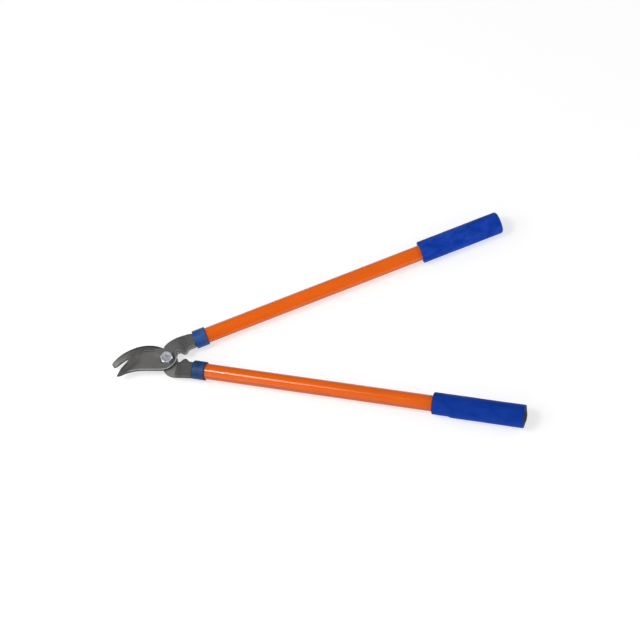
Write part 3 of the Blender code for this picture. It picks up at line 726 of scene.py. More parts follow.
def cut_tone(pts, d, vals, side):
    s = UPPER.along(pts)
    forged = CUT.value(vals, "forged")
    tone = np.ones(len(pts))
    lit = CUT.value(vals, "lit")
    if side == "wall":
        # painted light and shade on the side walls: lighter on the lit notch side, darker lower down and toward the
        # point
        return CUT.value(vals, "wall") * (1.0 + 1.1 * lit - (0.55 - 0.35 * lit) * step(0.2, 0.9, d)) \
            * (1 - 0.35 * fade(-68.0, -58.0, pts[:, 0]))
    if side == "bottom":
        # painted shade on the underside beside the forged rim, painted light there on the lit notch side
        return tone * (1 - 0.45 * (forged - lit) * fade(0.4, 1.2, d) + 0.4 * lit * fade(0.4, 1.0, d))
    ch = CUT.value(vals, "chamfer")
    x = pts[:, 0]
    # painted highlight along the chamfer of the spine and boss, brightest at the boss, and a painted shade line just
    # inside it
    strip = ch * fade(CHAMFER - 0.1, CHAMFER + 0.15, d) * step(-70.0, -58.0, x)
    tone = tone + (0.95 + 0.60 * step(-14.0, 0.0, x) + 0.85 * hill(x, 3.5, 5.0)) * strip
    tone = tone * (1 - 0.12 * ch * hill(d, CHAMFER + 0.9, 0.5))
    ed, t = near(pts, EDGE)
    # painted shade on the grind toward the point: darker than the flat, darkest beside the edge near the point
    border, _ = GRIND.look(pts)
    border = np.where(GRIND.inside(pts), border, -border)
    ground = fade(0.90, 1.05, ed / bevel_width(t))
    drop = (0.15 + 0.22 * step(0.55, 0.75, t)) * (1 - ground) + 0.44 * ground
    tone = tone * (1 - drop * step(-2.8, 1.6, border) * (1 - strip))
    # painted light and shade along the edge near the point
    tone = tone * (1 - (0.38 * step(0.72, 0.80, t) + 0.14 * step(0.82, 0.90, t)) * fade(1.0, 4.8, ed)
                   + 0.40 * hill(t, 0.665, 0.05) * fade(0.8, 3.2, ed)
                   + 0.24 * hill(t, 0.80, 0.03) * hill(ed, 8.0, 1.3)
                   - 0.30 * hill(t, 0.77, 0.035) * hill(ed, 3.8, 1.8) - 0.17 * step(0.80, 0.92, t))
    # painted shade along the middle of the edge
    tone = tone * (1 - 0.20 * step(0.22, 0.32, t) * fade(0.46, 0.60, t) * fade(8.0, 15.0, ed))
    # along the belly of the edge: a painted darker bevel, a painted shadow line beside the edge, a painted highlight
    # and a dark line at the grind's border
    belly = step(0.10, 0.17, t) * fade(0.42, 0.56, t)
    shadow_and_grind_lines = step(0.10, 0.17, t) * fade(0.28, 0.40, t)
    tone = tone * (1 - belly * fade(7.4, 8.4, ed) * 0.16)
    tone = tone * (1 - 0.62 * shadow_and_grind_lines * hill(ed, 2.0, 1.0) + 0.25 * belly * hill(ed, 5.0, 1.1)
                   - 0.42 * shadow_and_grind_lines * hill(ed, 7.6, 0.9) - 0.30 * hill(t, 0.165, 0.055) * hill(ed, 3.8, 2.1))
    # painted shadow round the bolt head with some grime in the gap, darkest on two sides of it
    r = np.hypot(x, pts[:, 1])
    turn = np.degrees(np.arctan2(pts[:, 1], x)) % 360.0
    head_shadow_and_grime = np.maximum(hill((turn - 15.0 + 180.0) % 360.0 - 180.0, 0.0, 24.0), hill(turn, 198.0, 26.0))
    tone = tone * (1 - (0.10 + 0.45 * head_shadow_and_grime) * fade(10.4, 12.8, r))
    # a rubbed, lighter patch and faint clouds across the flat
    tone = tone * (1 + 0.30 * hill(np.hypot((x + 16.0 + 0.5 * (pts[:, 1] - 8.0)) / 1.5, (pts[:, 1] - 8.0)), 0.0, 5.0)
                   + 0.06 * bumps(pts, 4.0, 61.0) + 0.07 * bumps(pts, 11.0, 71.0))
    # painted highlights and shade along the forged edge, following the dies' parting line and shoulder, doubled on the
    # lit notch side
    plain = 0.25 * hill(d, 0.9, 0.35) - 0.40 * hill(d, 0.2, 0.25) - 0.20 * hill(d, 2.0, 0.6)
    double = 1.5 * fade(0.30, 0.55, d) - 0.30 * hill(d, 0.85, 0.25) + 0.65 * hill(d, 2.1, 0.8) - 0.16 * hill(d, 4.3, 0.9)
    return tone * (1 + forged * ((1 - lit) * plain + lit * double))


def cut_dull(pts, d, vals, side):
    if side == "wall":
        return np.ones(len(pts)) * 0.8
    if side == "bottom":
        return np.ones(len(pts)) * 0.5
    ed, t = near(pts, EDGE)
    return 0.15 + 0.5 * fade(1.0, 2.5, ed)


def cut_forged(pts, d, vals, side):
    s = UPPER.along(pts)
    if side == "wall":
        return CUT.value(vals, "forged")
    if side == "bottom":
        return step(-0.05, 0.05, past_step(pts, 1))
    ground = fade(10.0, 20.0, np.hypot(pts[:, 0] - 4.0, pts[:, 1] - 2.0))
    return clamp(step(4.0, 16.0, s) * (1 - ground))


blade = plate("cutting_blade_forging", CUT, 6.3, [step_line(1, -0.06), step_line(1, 0.06)], cut_top, cut_bottom,
              {"tone": cut_tone, "forged": cut_forged, "dull": cut_dull}, [STEEL_BLADE],
              [0.28, 0.55, 0.8, 1.0, 1.3, 1.7, 2.4], levels=3)
piece(blade, "cutting_lever", "forged_steel", "cutting_blade")

HOOK_BACK = smooth([
    (-8.2, 24.0), (-17.9, 28.8), (-28.4, 31.7), (-39.3, 32.7), (-50.5, 31.7),
    (-61.4, 28.8), (-72.0, 24.2), (-82.1, 17.7), (-90.7, 9.4)], 10)
HOOK_INNER = smooth([(-84.1, 2.8), (-82.1, 4.2), (-76.0, 8.5), (-69.7, 12.2), (-57.7, 16.9), (-44.6, 18.4),
                     (-31.7, 16.6), (-21.8, 11.8), (-15.0, 4.9), (-11.6, -2.5), (-10.2, -9.5),
                     (-8.8, -15.4), (-6.5, -19.5), (-3.3, -23.1), (-0.1, -25.6), (3.0, -27.4),
                     (6.3, -28.5), LOWER.at(18.5, -16.7)], 8)
# the "wall" values are levels of painted light and shade on the side walls
HOOK = Outline([
    (list(reversed([LOWER.at(LOWER.tang_end, 8.0), LOWER.at(LOWER.shank_end - 2.0, 8.0),
                    LOWER.at(LOWER.shank_end, 6.0)])), dict(FORGED)),
    (smooth([LOWER.at(LOWER.tang_end, 11.3), (38.5, -8.7), (35.3, -7.7), (33.3, -5.6), (31.4, -3.1),
             (29.2, -1.9), (26.6, -1.9), (24.3, -2.9), (21.7, -4.9), (19.6, -6.4), (17.5, -6.1),
             (15.6, -4.5)], 5), dict(FORGED)),
    (smooth([(15.6, -4.5), (14.6, -2.2), (14.5, 0.6), (14.1, 3.6), (12.8, 6.8),
             (10.4, 9.8), (7.2, 12.2), (3.2, 14.6), (-2.0, 17.8), (-6.4, 21.2)], 5), {"wall": 0.7, "ease": 1.0}),
    (HOOK_BACK, {"wall": 0.7, "ease": 1.0}),
    (arc(-87.7, 5.9, 4.45, 143.0, 300.0, 16), {"wall": 0.70, "ease": 1.0}),
    (HOOK_INNER, {"wall": 0.58}),
    (smooth([LOWER.at(18.5, -16.7), LOWER.at(24.9, -15.9), LOWER.at(31.5, -15.6),
             LOWER.at(38.1, -15.2), LOWER.at(LOWER.tang_end, -14.6)], 6), {"forged": 1.0, "wall": 1.12}),
    ([LOWER.at(LOWER.tang_end, -8.0), LOWER.at(LOWER.shank_end - 2.0, -8.0), LOWER.at(LOWER.shank_end, -6.0)],
     dict(FORGED)),
])


def hook_top(pts, d, vals):
    forged = HOOK.value(vals, "forged")
    tang = step(-0.06, 0.06, past_step(pts, -1))
    s = LOWER.along(pts)
    uneven = (0.10 * bumps(pts, 9.0, 23.1) + 0.05 * bumps(pts, 3.2, 28.7)) * step(-0.1, 6.0, past_step(pts, -1))
    high = forged_side(SHEAR + TANG_HALF_T + uneven, d, 0.25, SHEAR)
    ease = HOOK.value(vals, "ease")
    flat = SHEAR - GAP / 2 - clamp(0.7 - d, 0.0, 1.0) * 0.7 * ease
    return flat * (1 - tang) + high * tang


def hook_bottom(pts, d, vals):
    forged = HOOK.value(vals, "forged")
    s = LOWER.along(pts)
    ramp = step(21.5, 36.0, s)
    flat = (SHEAR - HOOK_T) * (1 - ramp) + (SHEAR - TANG_HALF_T) * ramp
    uneven = 0.10 * bumps(pts, 9.0, 33.1) + 0.05 * bumps(pts, 3.2, 38.7)
    low = 2 * SHEAR - forged_side(2 * SHEAR - flat + uneven * step(16.0, 30.0, s), d, 0.25, SHEAR)
    round_ = flat + clamp(1.3 - d, 0.0, 2.0) * 0.8
    tang = step(-0.06, 0.06, past_step(pts, -1))
    return round_ * (1 - forged * tang) + low * forged * tang


def hook_tone(pts, d, vals, side):
    x = pts[:, 0]
    if side == "wall":
        jaw = fade(-16.0, -6.0, x)
        # painted shade on the side walls, darker lower down, most at the jaw
        return HOOK.value(vals, "wall") * (1.0 - (0.35 + 0.35 * jaw) * step(0.1, 0.8, d))
    tone = np.ones(len(pts))
    if side == "bottom":
        # painted shade on the underside near its rim
        return tone * (0.9 - 0.5 * fade(0.5, 1.4, d))
    tip = fade(-78.0, -60.0, x)
    jaw = fade(-14.0, -2.0, x)
    # painted light and shade on the hook's face: brightest at its tip, darkening toward the throat
    tone = tone * np.interp(x, [-92, -90, -87, -84, -81, -77, -73, -69, -65, -61, -56, -47, -38, -29, -21, -14, -6, -2],
                            [1.80, 1.74, 1.56, 1.27, 1.05, 0.98, 0.92, 0.84, 0.74, 0.55, 0.46, 0.45, 0.42, 0.39, 0.34,
                             0.40, 0.80, 1.00])
    # painted shade in bands along the back, and a painted highlight along the inner edge of the tip
    bd, _ = near(pts, HOOK_BACK)
    tone = tone * (1 - 0.24 * hill(x, -66.0, 9.0) * fade(7.5, 10.5, bd) - 0.24 * hill(x, -47.0, 9.0) * fade(3.5, 5.5, bd)
                   - 0.22 * hill(x, -78.0, 5.0) * hill(bd, 3.2, 1.0))
    tone = tone * (1 + 0.24 * (1 - HOOK.value(vals, "ease")) * fade(-74.0, -68.0, x) * hill(d, 1.4, 1.3))
    # cross-grinding of the hook
    along = -x * 0.86 + pts[:, 1] * 0.5
    tone = tone * (1 + jaw * (0.22 * np.sin(along * 2.1 + 0.9 * bumps(pts, 3.0, 47.0)) * tip
                              + 0.07 * np.sin(along * 0.93 + 0.8) + 0.09 * bumps(pts, 2.2, 51.0)))
    # painted shade along the eased edges, and bands of painted light and shade further in
    ease = HOOK.value(vals, "ease") * jaw
    tone = tone * (1 - ease * (0.72 * (1 - tip) * fade(1.1, 2.8, d) + 0.40 * tip * fade(2.0, 4.4, d)))
    tone = tone * (1 + jaw * (1 - tip) * (0.24 * hill(d, 5.0, 1.0) - 0.10 * hill(d, 3.2, 0.8) - 0.10 * hill(d, 7.0, 0.8)))
    # painted highlight and shade lines along the forged edge of the tang, a darker patch across it and faint clouds
    forged = HOOK.value(vals, "forged") * step(-0.05, 0.05, past_step(pts, -1))
    return tone * (1 + forged * (0.30 * hill(d, 0.9, 0.35) - 0.20 * hill(d, 2.0, 0.6) - 0.20 * hill(x, 18.5, 3.5))
                   + 0.10 * forged * bumps(pts, 5.0, 81.0))


def hook_forged(pts, d, vals, side):
    if side == "wall":
        return np.maximum(HOOK.value(vals, "forged"), 0.4)
    if side == "bottom":
        return np.ones(len(pts)) * 0.8
    return np.maximum(step(-0.05, 0.05, past_step(pts, -1)), 0.2 * fade(-30.0, -14.0, pts[:, 0]))


def hook_dull(pts, d, vals, side):
    if side == "wall":
        return np.ones(len(pts)) * 0.8
    return np.ones(len(pts)) * (0.5 if side == "bottom" else 0.2)


hook = plate("hook_blade_forging", HOOK, 6.3, [step_line(-1, -0.06), step_line(-1, 0.06)], hook_top, hook_bottom,
             {"tone": hook_tone, "forged": hook_forged, "dull": hook_dull}, [STEEL_HOOK],
             [0.28, 0.55, 0.85, 1.15, 1.5, 1.9, 2.6], levels=3)
piece(hook, "hook_lever", "forged_steel_hook", "hook_blade")


# ================================================================ pivot hardware
def hex_radius(theta, flats, corner_deg, soften=0.35):
    """Outer radius of a hexagon with slightly rounded corners."""
    a = (math.degrees(theta) - corner_deg) % 60.0
    off = math.radians(a - 30.0)
    r = flats / 2 / math.cos(off)
    corner = flats / math.sqrt(3.0)
    return r - soften * max(0.0, (r - (corner - 0.55)) / 0.55) ** 2 * 0.5


HEAD_Z = SHEAR + BLADE_T + GAP
HEAD_H = 7.5
HEX_CORNER = -11.6


def thread_radius(theta, z, outer=6.0, depth=0.95, pitch=1.75):
    phase = (z / pitch - theta / (2 * math.pi)) % 1.0
    tri = abs(phase - 0.5) * 2
    return outer - depth * max(0.0, min(1.0, (tri - 0.12) / 0.80))


def bolt_head():
    top = HEAD_Z + HEAD_H
    seg = 180
    rows = []
    # dished top face, its raised border, the conical chamfer and the sides
    for r, h in [(0.0, -0.24), (1.6, -0.24), (3.2, -0.235), (4.4, -0.22), (5.2, -0.185), (5.8, -0.13), (6.2, -0.07),
                 (6.6, -0.02), (7.0, 0.0), (7.7, 0.0), (CHAMFER_R, 0.0)]:
        rows.append(("circle", r, top + h))
    rows.append(("cone", 0.25, None))
    rows.append(("cone", 0.6, None))
    rows.append(("cone", 1.0, None))
    for f in (0.06, 0.2, 0.5, 0.8, 0.97):
        rows.append(("side", f, None))
    rows += [("circle", 8.8, HEAD_Z), ("circle", 6.35, HEAD_Z), ("circle", 6.0, HEAD_Z - 0.35)]
    z = HEAD_Z - 1.0
    while z > 12.4:
        rows.append(("circle", 6.0, z))
        z -= 1.4
    z = 12.2
    while z > 0.95:
        rows.append(("thread", 0.0, z))
        z -= 0.16
    rows += [("thread", 0.0, 0.9), ("circle", 5.25, 0.35), ("circle", 4.95, 0.0), ("circle", 3.0, 0.0),
             ("circle", 0.0, 0.0)]
    verts, faces, tones, index = [], [], [], []
    for kind, a, z in rows:
        if kind == "circle" and a == 0.0:
            index.append([len(verts)])
            verts.append((0.0, 0.0, z))
            tones.append(0.9)
            continue
        row = []
        for k in range(seg):
            th = 2 * math.pi * k / seg
            rh = hex_radius(th, HEX_AF, HEX_CORNER)
            # painted light and shade: the dish lighter to one side, the chamfer lighter or darker by its direction, the
            # sides and the thread darker
            tone = 1.0
            if kind == "circle":
                r, zz = a, z
                if z > HEAD_Z + HEAD_H - 1.0:
                    tone = 1.14 - 0.13 * math.cos(th + math.radians(45.0)) * min(1.0, a / 4.0) if a < 6.3 else 1.10
            elif kind == "cone":
                r = CHAMFER_R + (rh - CHAMFER_R) * a
                zz = top - (r - CHAMFER_R) * 0.62
                tone = float(np.interp(math.degrees(th), [0, 45, 90, 135, 180, 225, 270, 315, 360],
                                       [1.16, 1.28, 1.12, 0.96, 0.80, 0.80, 1.28, 1.26, 1.16]))
            elif kind == "side":
                r = rh - 0.25 * max(0.0, (a - 0.9) / 0.1)
                zt = top - (rh - CHAMFER_R) * 0.62
                zz = zt + (HEAD_Z - zt) * a
                tone = 0.82
            else:
                zz = z
                r = thread_radius(th, z) if z < 11.6 else 6.0 - (6.0 - thread_radius(th, z)) * max(0.0, (12.2 - z) / 0.6)
                if z < 1.6:
                    r = min(r, 5.25 + (z - 0.35) * 0.75)
                tone = 0.8
            row.append(len(verts))
            verts.append((r * math.cos(th), r * math.sin(th), zz))
            tones.append(tone)
        index.append(row)
    for a, b in zip(index, index[1:]):
        for k in range(seg):
            j = (k + 1) % seg
            if len(a) == 1:
                faces.append((a[0], b[k], b[j]))
            elif len(b) == 1:
                faces.append((a[k], b[0], a[j]))
            else:
                faces.append((a[k], b[k], b[j], a[j]))
    return finish_mesh("pivot_bolt_detail", verts, faces, [ZINC], 26.0, None, {"tone": tones})


piece(bolt_head(), "hook_lever", "zinc_steel", "pivot_bolt")

washer_top = SHEAR - HOOK_T - GAP
nut_top = washer_top - 1.5 - GAP
nut_bottom = nut_top - 7.9
wr = 6.5
piece(lathe("nut_washer_detail", [
    (wr + 0.15, washer_top), (11.6, washer_top), (11.9, washer_top - 0.12), (12.0, washer_top - 0.4),
    (12.0, washer_top - 1.15), (11.9, washer_top - 1.38), (11.7, washer_top - 1.5), (wr + 0.15, washer_top - 1.5),
    (wr, washer_top - 1.35), (wr, washer_top - 0.15)], [ZINC_NUT], segments=96, loop=True),
    "hook_lever", "zinc_steel", "nut_washer")


def lock_nut():
    seg = 180
    hex_low = nut_top - 5.4
    rows = [("circle", 6.3, nut_top - 0.6), ("circle", 6.9, nut_top), ("circle", CHAMFER_R, nut_top)]
    rows += [("cone_t", f, None) for f in (0.3, 0.65, 1.0)]
    rows += [("side", f, None) for f in (0.05, 0.3, 0.7, 0.95)]
    rows += [("cone_b", f, None) for f in (1.0, 0.6, 0.25)]
    rows += [("circle", 8.5, hex_low - 0.15), ("circle", 8.5, nut_bottom + 1.5), ("circle", 8.4, nut_bottom + 0.8),
             ("circle", 8.15, nut_bottom + 0.3), ("circle", 7.7, nut_bottom + 0.02), ("circle", 7.3, nut_bottom + 0.05),
             ("circle", 7.2, nut_bottom + 0.3), ("circle", 7.5, nut_bottom + 0.6), ("circle", 7.6, nut_bottom + 2.8),
             ("circle", 6.3, nut_bottom + 2.8)]
    verts, faces, tones, index = [], [], [], []
    for kind, a, z in rows:
        row = []
        for k in range(seg):
            th = 2 * math.pi * k / seg
            rh = hex_radius(th, HEX_AF, 11.0)
            ct, cb = nut_top - (rh - CHAMFER_R) * 0.6, hex_low + (rh - CHAMFER_R) * 0.6
            # painted highlight on the chamfers and painted shade on the sides
            tone = 1.0
            if kind == "circle":
                r, zz = a, z
            elif kind == "cone_t":
                r = CHAMFER_R + (rh - CHAMFER_R) * a
                zz, tone = nut_top - (r - CHAMFER_R) * 0.6, 1.15
            elif kind == "cone_b":
                r = CHAMFER_R + (rh - CHAMFER_R) * a
                zz, tone = hex_low + (r - CHAMFER_R) * 0.6, 1.15
            else:
                r, zz, tone = rh, ct + (cb - ct) * a, 0.9
            row.append(len(verts))
            verts.append((r * math.cos(th), r * math.sin(th), zz))
            tones.append(tone)
        index.append(row)
    pairs = list(zip(index, index[1:])) + [(index[-1], index[0])]
    for a, b in pairs:
        for k in range(seg):
            j = (k + 1) % seg
            faces.append((a[k], b[k], b[j], a[j]))
    return finish_mesh("pivot_nut_detail", verts, faces, [ZINC_NUT], 26.0, None, {"tone": tones})


piece(lock_nut(), "hook_lever", "zinc_steel", "pivot_nut")
piece(lathe("nylon_ring_detail", [
    (6.5, nut_bottom + 2.5), (7.1, nut_bottom + 2.5), (7.3, nut_bottom + 2.3), (7.3, nut_bottom + 0.9),
    (7.1, nut_bottom + 0.7), (6.6, nut_bottom + 0.7), (6.35, nut_bottom + 0.95), (6.3, nut_bottom + 1.3),
    (6.3, nut_bottom + 2.3)], [NYLON], segments=96, loop=True), "hook_lever", "white_nylon", "nut_nylon_insert")


# ================================================================ handles
def tube(name, handle, painted_light_level, underside_shade, underside_shade_start):
    """A painted tube; the first level scales its paint as painted light, the next two set how strong a painted shade
    darkens its underside and where that shade begins.
    """
    s0, s1 = handle.ferrule_s[0] + 4.1 + GAP, handle.tube_end
    rows = [s1 - 0.5 - (s1 - s0 - 1.0) * i / 60 for i in range(61)]
    prof = [(TUBE_BORE_R + 0.3, s1), (TUBE_R - 0.4, s1), (TUBE_R - 0.12, s1 - 0.12)]
    prof += [(TUBE_R, h) for h in rows]
    prof += [(TUBE_R - 0.12, s0 + 0.12), (TUBE_R - 0.4, s0), (TUBE_BORE_R + 0.3, s0), (TUBE_BORE_R, s0 + 0.3),
             (TUBE_BORE_R, s1 - 0.3)]
    def shade(th, r, h):
        # painted light level of the whole tube, less a painted shade on its underside
        return painted_light_level - underside_shade * float(fade(underside_shade_start - 0.65, underside_shade_start, math.sin(th)))

    return lathe(name, prof, [ORANGE], handle.matrix(), segments=128, loop=True, tone=shade)


def ferrule(name, handle, mat, seed, rim_shade_amount, under):
    """A collar; under gives how much painted shade darkens its underside, and where that starts and ends."""
    s0, s1 = handle.ferrule_s
    bore = TUBE_R + GAP
    r = FERRULE_R
    prof = [(bore, s1 - 0.4), (bore + 0.4, s1), (r - 1.0, s1), (r - 0.45, s1 - 0.12), (r - 0.1, s1 - 0.5),
            (r, s1 - 1.1)]
    prof += [(r, s1 - 1.1 - (s1 - s0 - 2.2) * i / 12) for i in range(1, 12)]
    prof += [(r, s0 + 1.1), (r - 0.1, s0 + 0.5), (r - 0.45, s0 + 0.12), (r - 1.0, s0), (bore + 0.4, s0),
             (bore, s0 + 0.4)]

    def uneven(th, rr, h):
        if rr < r - 0.5:
            return rr, h
        w = noise.noise(Vector((math.cos(th) * 2.2 + seed, math.sin(th) * 2.2, h / 7.0)))
        return rr - 0.10 + 0.10 * w, h

    # painted shade at both rims and on the underside
    def rim(th, rr, h):
        edge = min(abs(h - s0), abs(s1 - h))
        return (0.60 + 0.40 * float(step(0.2, 2.4, edge))) * (1.0 - under[0] * float(fade(under[1], under[2], math.sin(th))))

    # a brownish painted shade at the rim beside the tube
    return lathe(name, prof, [mat], handle.matrix(), segments=144, bend=uneven, tone=rim, loop=True,
                 rim_shade=lambda h: rim_shade_amount * float(step(s1 - 9.0, s1 - 2.0, h)))


def grip_rows(start, end, count):
    return [start + (end - start) * i / count for i in range(count + 1)]


def grip_waves(th, h, seed, amount=0.22):
    w = noise.noise(Vector((math.cos(th) * 1.6 + seed, math.sin(th) * 1.6 - seed, h / 26.0)))
    f = noise.noise(Vector((math.cos(th) * 4.0 - seed, math.sin(th) * 4.0, h / 8.0)))
    return amount * w + 0.07 * f


def closed_grip(name, handle, mat, seed):
    s0, s1 = handle.grip_s
    bore = TUBE_R + 0.25
    r = GRIP_R
    prof = [(0.0, s1 - 0.1), (3.5, s1 - 0.08), (7.0, s1 - 0.02), (10.0, s1)]
    prof += [(10.0 + (r - 10.0) * math.sin(math.pi / 2 * i / 12) ** 0.9,
              s1 - 5.2 + 5.2 * math.cos(math.pi / 2 * i / 12) ** 0.9) for i in range(1, 12)]
    prof += [(r, h) for h in grip_rows(s1 - 5.2, s0 + 1.8, 80)]
    prof += [(r - 0.15, s0 + 1.0), (r - 0.5, s0 + 0.4), (r - 1.1, s0 + 0.05), (r - 1.8, s0), (bore + 0.5, s0 + 0.1),
             (bore, s0 + 0.6), (bore, handle.tube_end + GAP), (0.0, handle.tube_end + GAP)]

    def shape(th, rr, h):
        if rr < bore + 0.6 and h < handle.tube_end + 1.0:
            return rr, h
        k = min(1.0, rr / r)
        out = rr - 0.22 * k + grip_waves(th, h, seed) * k * min(1.0, (h - s0) / 6.0 + 0.2)
        return min(out, GRIP_R), h

    def rim(th, rr, h):
        # painted shade inside the bore and toward the mouth end
        if rr < bore + 1.0 and h < s1 - 5:
            return 0.6
        return 0.78 + 0.22 * float(step(0.0, 3.0, h - s0))

    return lathe(name, prof, [mat], handle.matrix(), segments=144, sharp=50.0, bend=shape, tone=rim)


def open_grip(name, handle, mat, seed):
    s0, s1 = handle.grip_s
    bore = TUBE_R + 0.25
    r = GRIP_R
    seat = 14.2
    prof = [(seat, s1 - 0.25), (seat + 0.25, s1), (r - 0.9, s1), (r - 0.35, s1 - 0.15), (r - 0.05, s1 - 0.6)]
    prof += [(r, h) for h in grip_rows(s1 - 1.2, s0 + 1.2, 90)]
    prof += [(r - 0.1, s0 + 0.6), (r - 0.4, s0 + 0.2), (r - 0.9, s0), (bore + 0.5, s0 + 0.05),
             (bore, s0 + 0.6), (bore, handle.tube_end), (seat, handle.tube_end)]
    low = math.radians(-153.0)

    def shape(th, rr, h):
        if rr < seat + 0.6:
            return rr, h
        k = 1.0
        out = rr - 0.15 + grip_waves(th, h, seed, 0.16) * min(1.0, (h - s0) / 6.0 + 0.2)
        side = max(0.0, math.cos(th - low)) ** 1.5
        lean = float(step(30.5, 24.5, h - s0))
        out -= 1.35 * side * lean * k
        return min(out, GRIP_R), h

    def rim(th, rr, h):
        # painted shade inside the open end and toward both ends
        if rr < seat + 0.6:
            return 0.6
        edge = min(h - s0, s1 - h)
        return 0.74 + 0.26 * float(step(0.2, 2.4, edge))

    return lathe(name, prof, [mat], handle.matrix(), segments=144, sharp=50.0, bend=shape, tone=rim, loop=True)


def end_plug(name, handle):
    top = handle.grip_s[1] + 3.2
    shoulder = handle.grip_s[1] - 0.2
    seat = handle.tube_end + GAP
    stem = TUBE_BORE_R - GAP
    head = 13.9
    prof = [(head * i / 16, shoulder + (top - shoulder) * (1 - (i / 16) ** 2.2)) for i in range(16)]
    prof += [(head - 0.12, shoulder + 0.12), (head, shoulder - 0.15), (head, seat + 0.2), (head - 0.2, seat),
             (stem, seat)]
    # grip ribs on the stem inside the tube
    for i in range(5):
        h = seat - 2.0 - i * 4.4
        prof += [(stem - 0.5, h), (stem, h - 0.4), (stem, h - 1.4), (stem - 0.5, h - 2.4)]
    prof += [(stem - 1.2, seat - 26.3), (0.0, seat - 26.3)]
    return lathe(name, prof, [PLUG], handle.matrix(), segments=96)


piece(tube("cutting_tube_detail", UPPER, 1.06, 0.34, 0.50), "cutting_lever", "orange_paint", "cutting_handle_tube")
piece(ferrule("cutting_ferrule_detail", UPPER, COLLAR_U, 4.0, 0.22, (0.12, -0.1, 0.5)), "cutting_lever",
      "blue_ferrule", "cutting_handle_ferrule")
piece(closed_grip("cutting_grip_detail", UPPER, BLUE_GRIP_U, 1.7), "cutting_lever", "blue_vinyl",
      "cutting_handle_grip")
piece(tube("hook_tube_detail", LOWER, 1.0, 0.44, 0.78), "hook_lever", "orange_paint", "hook_handle_tube")
piece(ferrule("hook_ferrule_detail", LOWER, COLLAR_L, 9.0, 0.22, (0.23, 0.62, 0.86)), "hook_lever",
      "blue_ferrule", "hook_handle_ferrule")
piece(open_grip("hook_grip_detail", LOWER, BLUE_GRIP_L, 6.3), "hook_lever", "blue_vinyl", "hook_handle_grip")
piece(end_plug("hook_plug_detail", LOWER), "hook_lever", "black_plug", "hook_handle_end_plug")

for name, mat in (("cutting_tang_sleeve", LINER), ("hook_tang_sleeve", LINER), ("cutting_tang_pin", RIVET),
                  ("hook_tang_pin", RIVET)):
    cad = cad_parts[name]
    for i in range(len(cad.material_slots)):
        cad.material_slots[i].material = mat


# ================================================================ floor, light, camera
def floor():
    size = 6.0
    verts = [(-size, -size, 0), (size, -size, 0), (size, size, 0), (-size, size, 0)]
    mesh = bpy.data.meshes.new("floor")
    mesh.from_pydata(verts, [], [(0, 1, 2, 3)])
    mat, nt, sh = new_material("pale_floor")
    sh.inputs["Base Color"].default_value = (0.50, 0.50, 0.50, 1.0)
    sh.inputs["Roughness"].default_value = 0.9
    sh.inputs["Specular IOR Level"].default_value = 0.1
    sh.inputs["Emission Color"].default_value = (1.0, 1.0, 1.0, 1.0)
    sh.inputs["Emission Strength"].default_value = 0.60
    mesh.materials.append(mat)
    obj = bpy.data.objects.new("floor", mesh)
    bpy.context.scene.collection.objects.link(obj)
    obj.location.z = -0.0002


def area_light(name, position, target, size_x, size_y, radiance, colour=(1, 1, 1)):
    data = bpy.data.lights.new(name, "AREA")
    data.shape = "RECTANGLE"
    data.size, data.size_y = size_x, size_y
    data.energy = radiance * math.pi * size_x * size_y
    data.color = colour
    obj = bpy.data.objects.new(name, data)
    bpy.context.scene.collection.objects.link(obj)
    obj.location = position
    obj.rotation_euler = (Vector(target) - Vector(position)).to_track_quat("-Z", "Y").to_euler()
    return obj


floor()
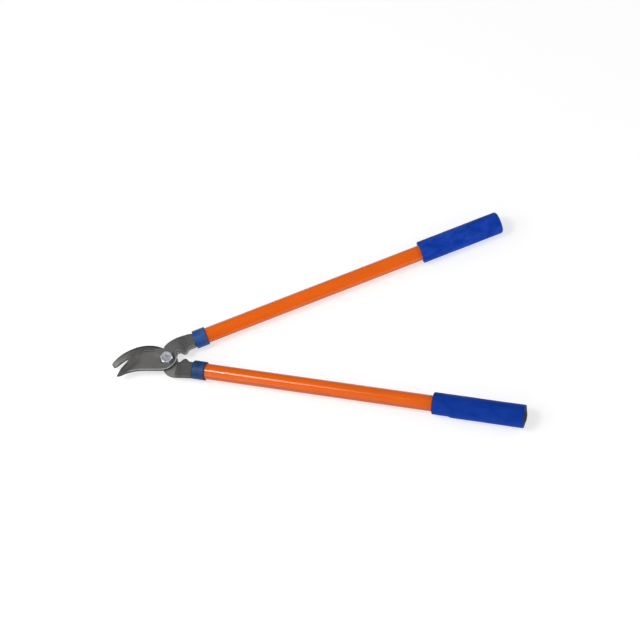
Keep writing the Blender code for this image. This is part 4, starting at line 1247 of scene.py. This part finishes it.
# a strip overhead to the left, brightest at its far end
area_light("strip_bright", (-0.80, -0.29, 2.0), (-0.80, -0.29, 0.0), 0.50, 0.64, 16.0)
area_light("strip_middle", (-0.47, -0.32, 2.0), (-0.47, -0.32, 0.0), 0.16, 0.62, 5.0)
area_light("strip_dim", (-0.30, -0.34, 2.0), (-0.30, -0.34, 0.0), 0.18, 0.62, 1.5)
area_light("softbox_left", (-2.7, -0.4, 1.6), (0.1, 0.0, 0.0), 2.6, 2.2, 1.32)
area_light("softbox_right", (2.9, -0.4, 1.8), (0.2, 0.0, 0.0), 2.6, 2.2, 1.48)
area_light("softbox_front", (-0.10, -2.3, 1.3), (0.0, 0.0, 0.0), 0.70, 0.8, 2.4)
area_light("softbox_low", (-1.25, -1.75, 0.16), (0.05, -0.02, 0.0), 0.60, 0.20, 3.0)

# the room: dim overhead and to the right, a light wall to the left
world = bpy.data.worlds.new("studio")
world.use_nodes = True
wt = world.node_tree
coords = wt.nodes.new("ShaderNodeTexCoord")
split = wt.nodes.new("ShaderNodeSeparateXYZ")
ramp = wt.nodes.new("ShaderNodeValToRGB")
wt.links.new(coords.outputs["Generated"], split.inputs[0])
shift = wt.nodes.new("ShaderNodeMapRange")
shift.inputs["From Min"].default_value = -1.0
shift.inputs["From Max"].default_value = 1.0
wt.links.new(split.outputs["X"], shift.inputs["Value"])
wt.links.new(shift.outputs["Result"], ramp.inputs["Fac"])
stops = [(0.0, 0.95), (0.235, 0.90), (0.285, 0.22), (0.50, 0.16), (0.72, 0.18), (0.90, 0.55)]
while len(ramp.color_ramp.elements) < len(stops):
    ramp.color_ramp.elements.new(0.5)
for element, (place, value) in zip(ramp.color_ramp.elements, stops):
    element.position = place
    element.color = (value, value, value, 1.0)
wt.links.new(ramp.outputs["Color"], wt.nodes["Background"].inputs["Color"])
wt.nodes["Background"].inputs["Strength"].default_value = 1.0
bpy.context.scene.world = world

cam_data = bpy.data.cameras.new("camera")
cam_data.sensor_width = 36.0
cam_data.lens = 1743.5498 / 640.0 * 36.0
cam_data.clip_end = 20.0
cam = bpy.data.objects.new("camera", cam_data)
bpy.context.scene.collection.objects.link(cam)
view = Matrix.Identity(4)
for i, axis in enumerate(((0.98534825, -0.0484955, -0.16351454), (0.12246839, 0.86843511, 0.48043933),
                          (0.11870263, -0.49342541, 0.86165019))):
    view.col[i][:3] = axis
view.col[3][:3] = (0.57354189, -1.32117368, 2.37676835 + SHEAR * MM)
cam.matrix_world = view
bpy.context.scene.camera = cam

bpy.context.scene.view_settings.view_transform = "Standard"
bpy.context.scene.view_settings.look = "None"

bpy.context.view_layer.update()
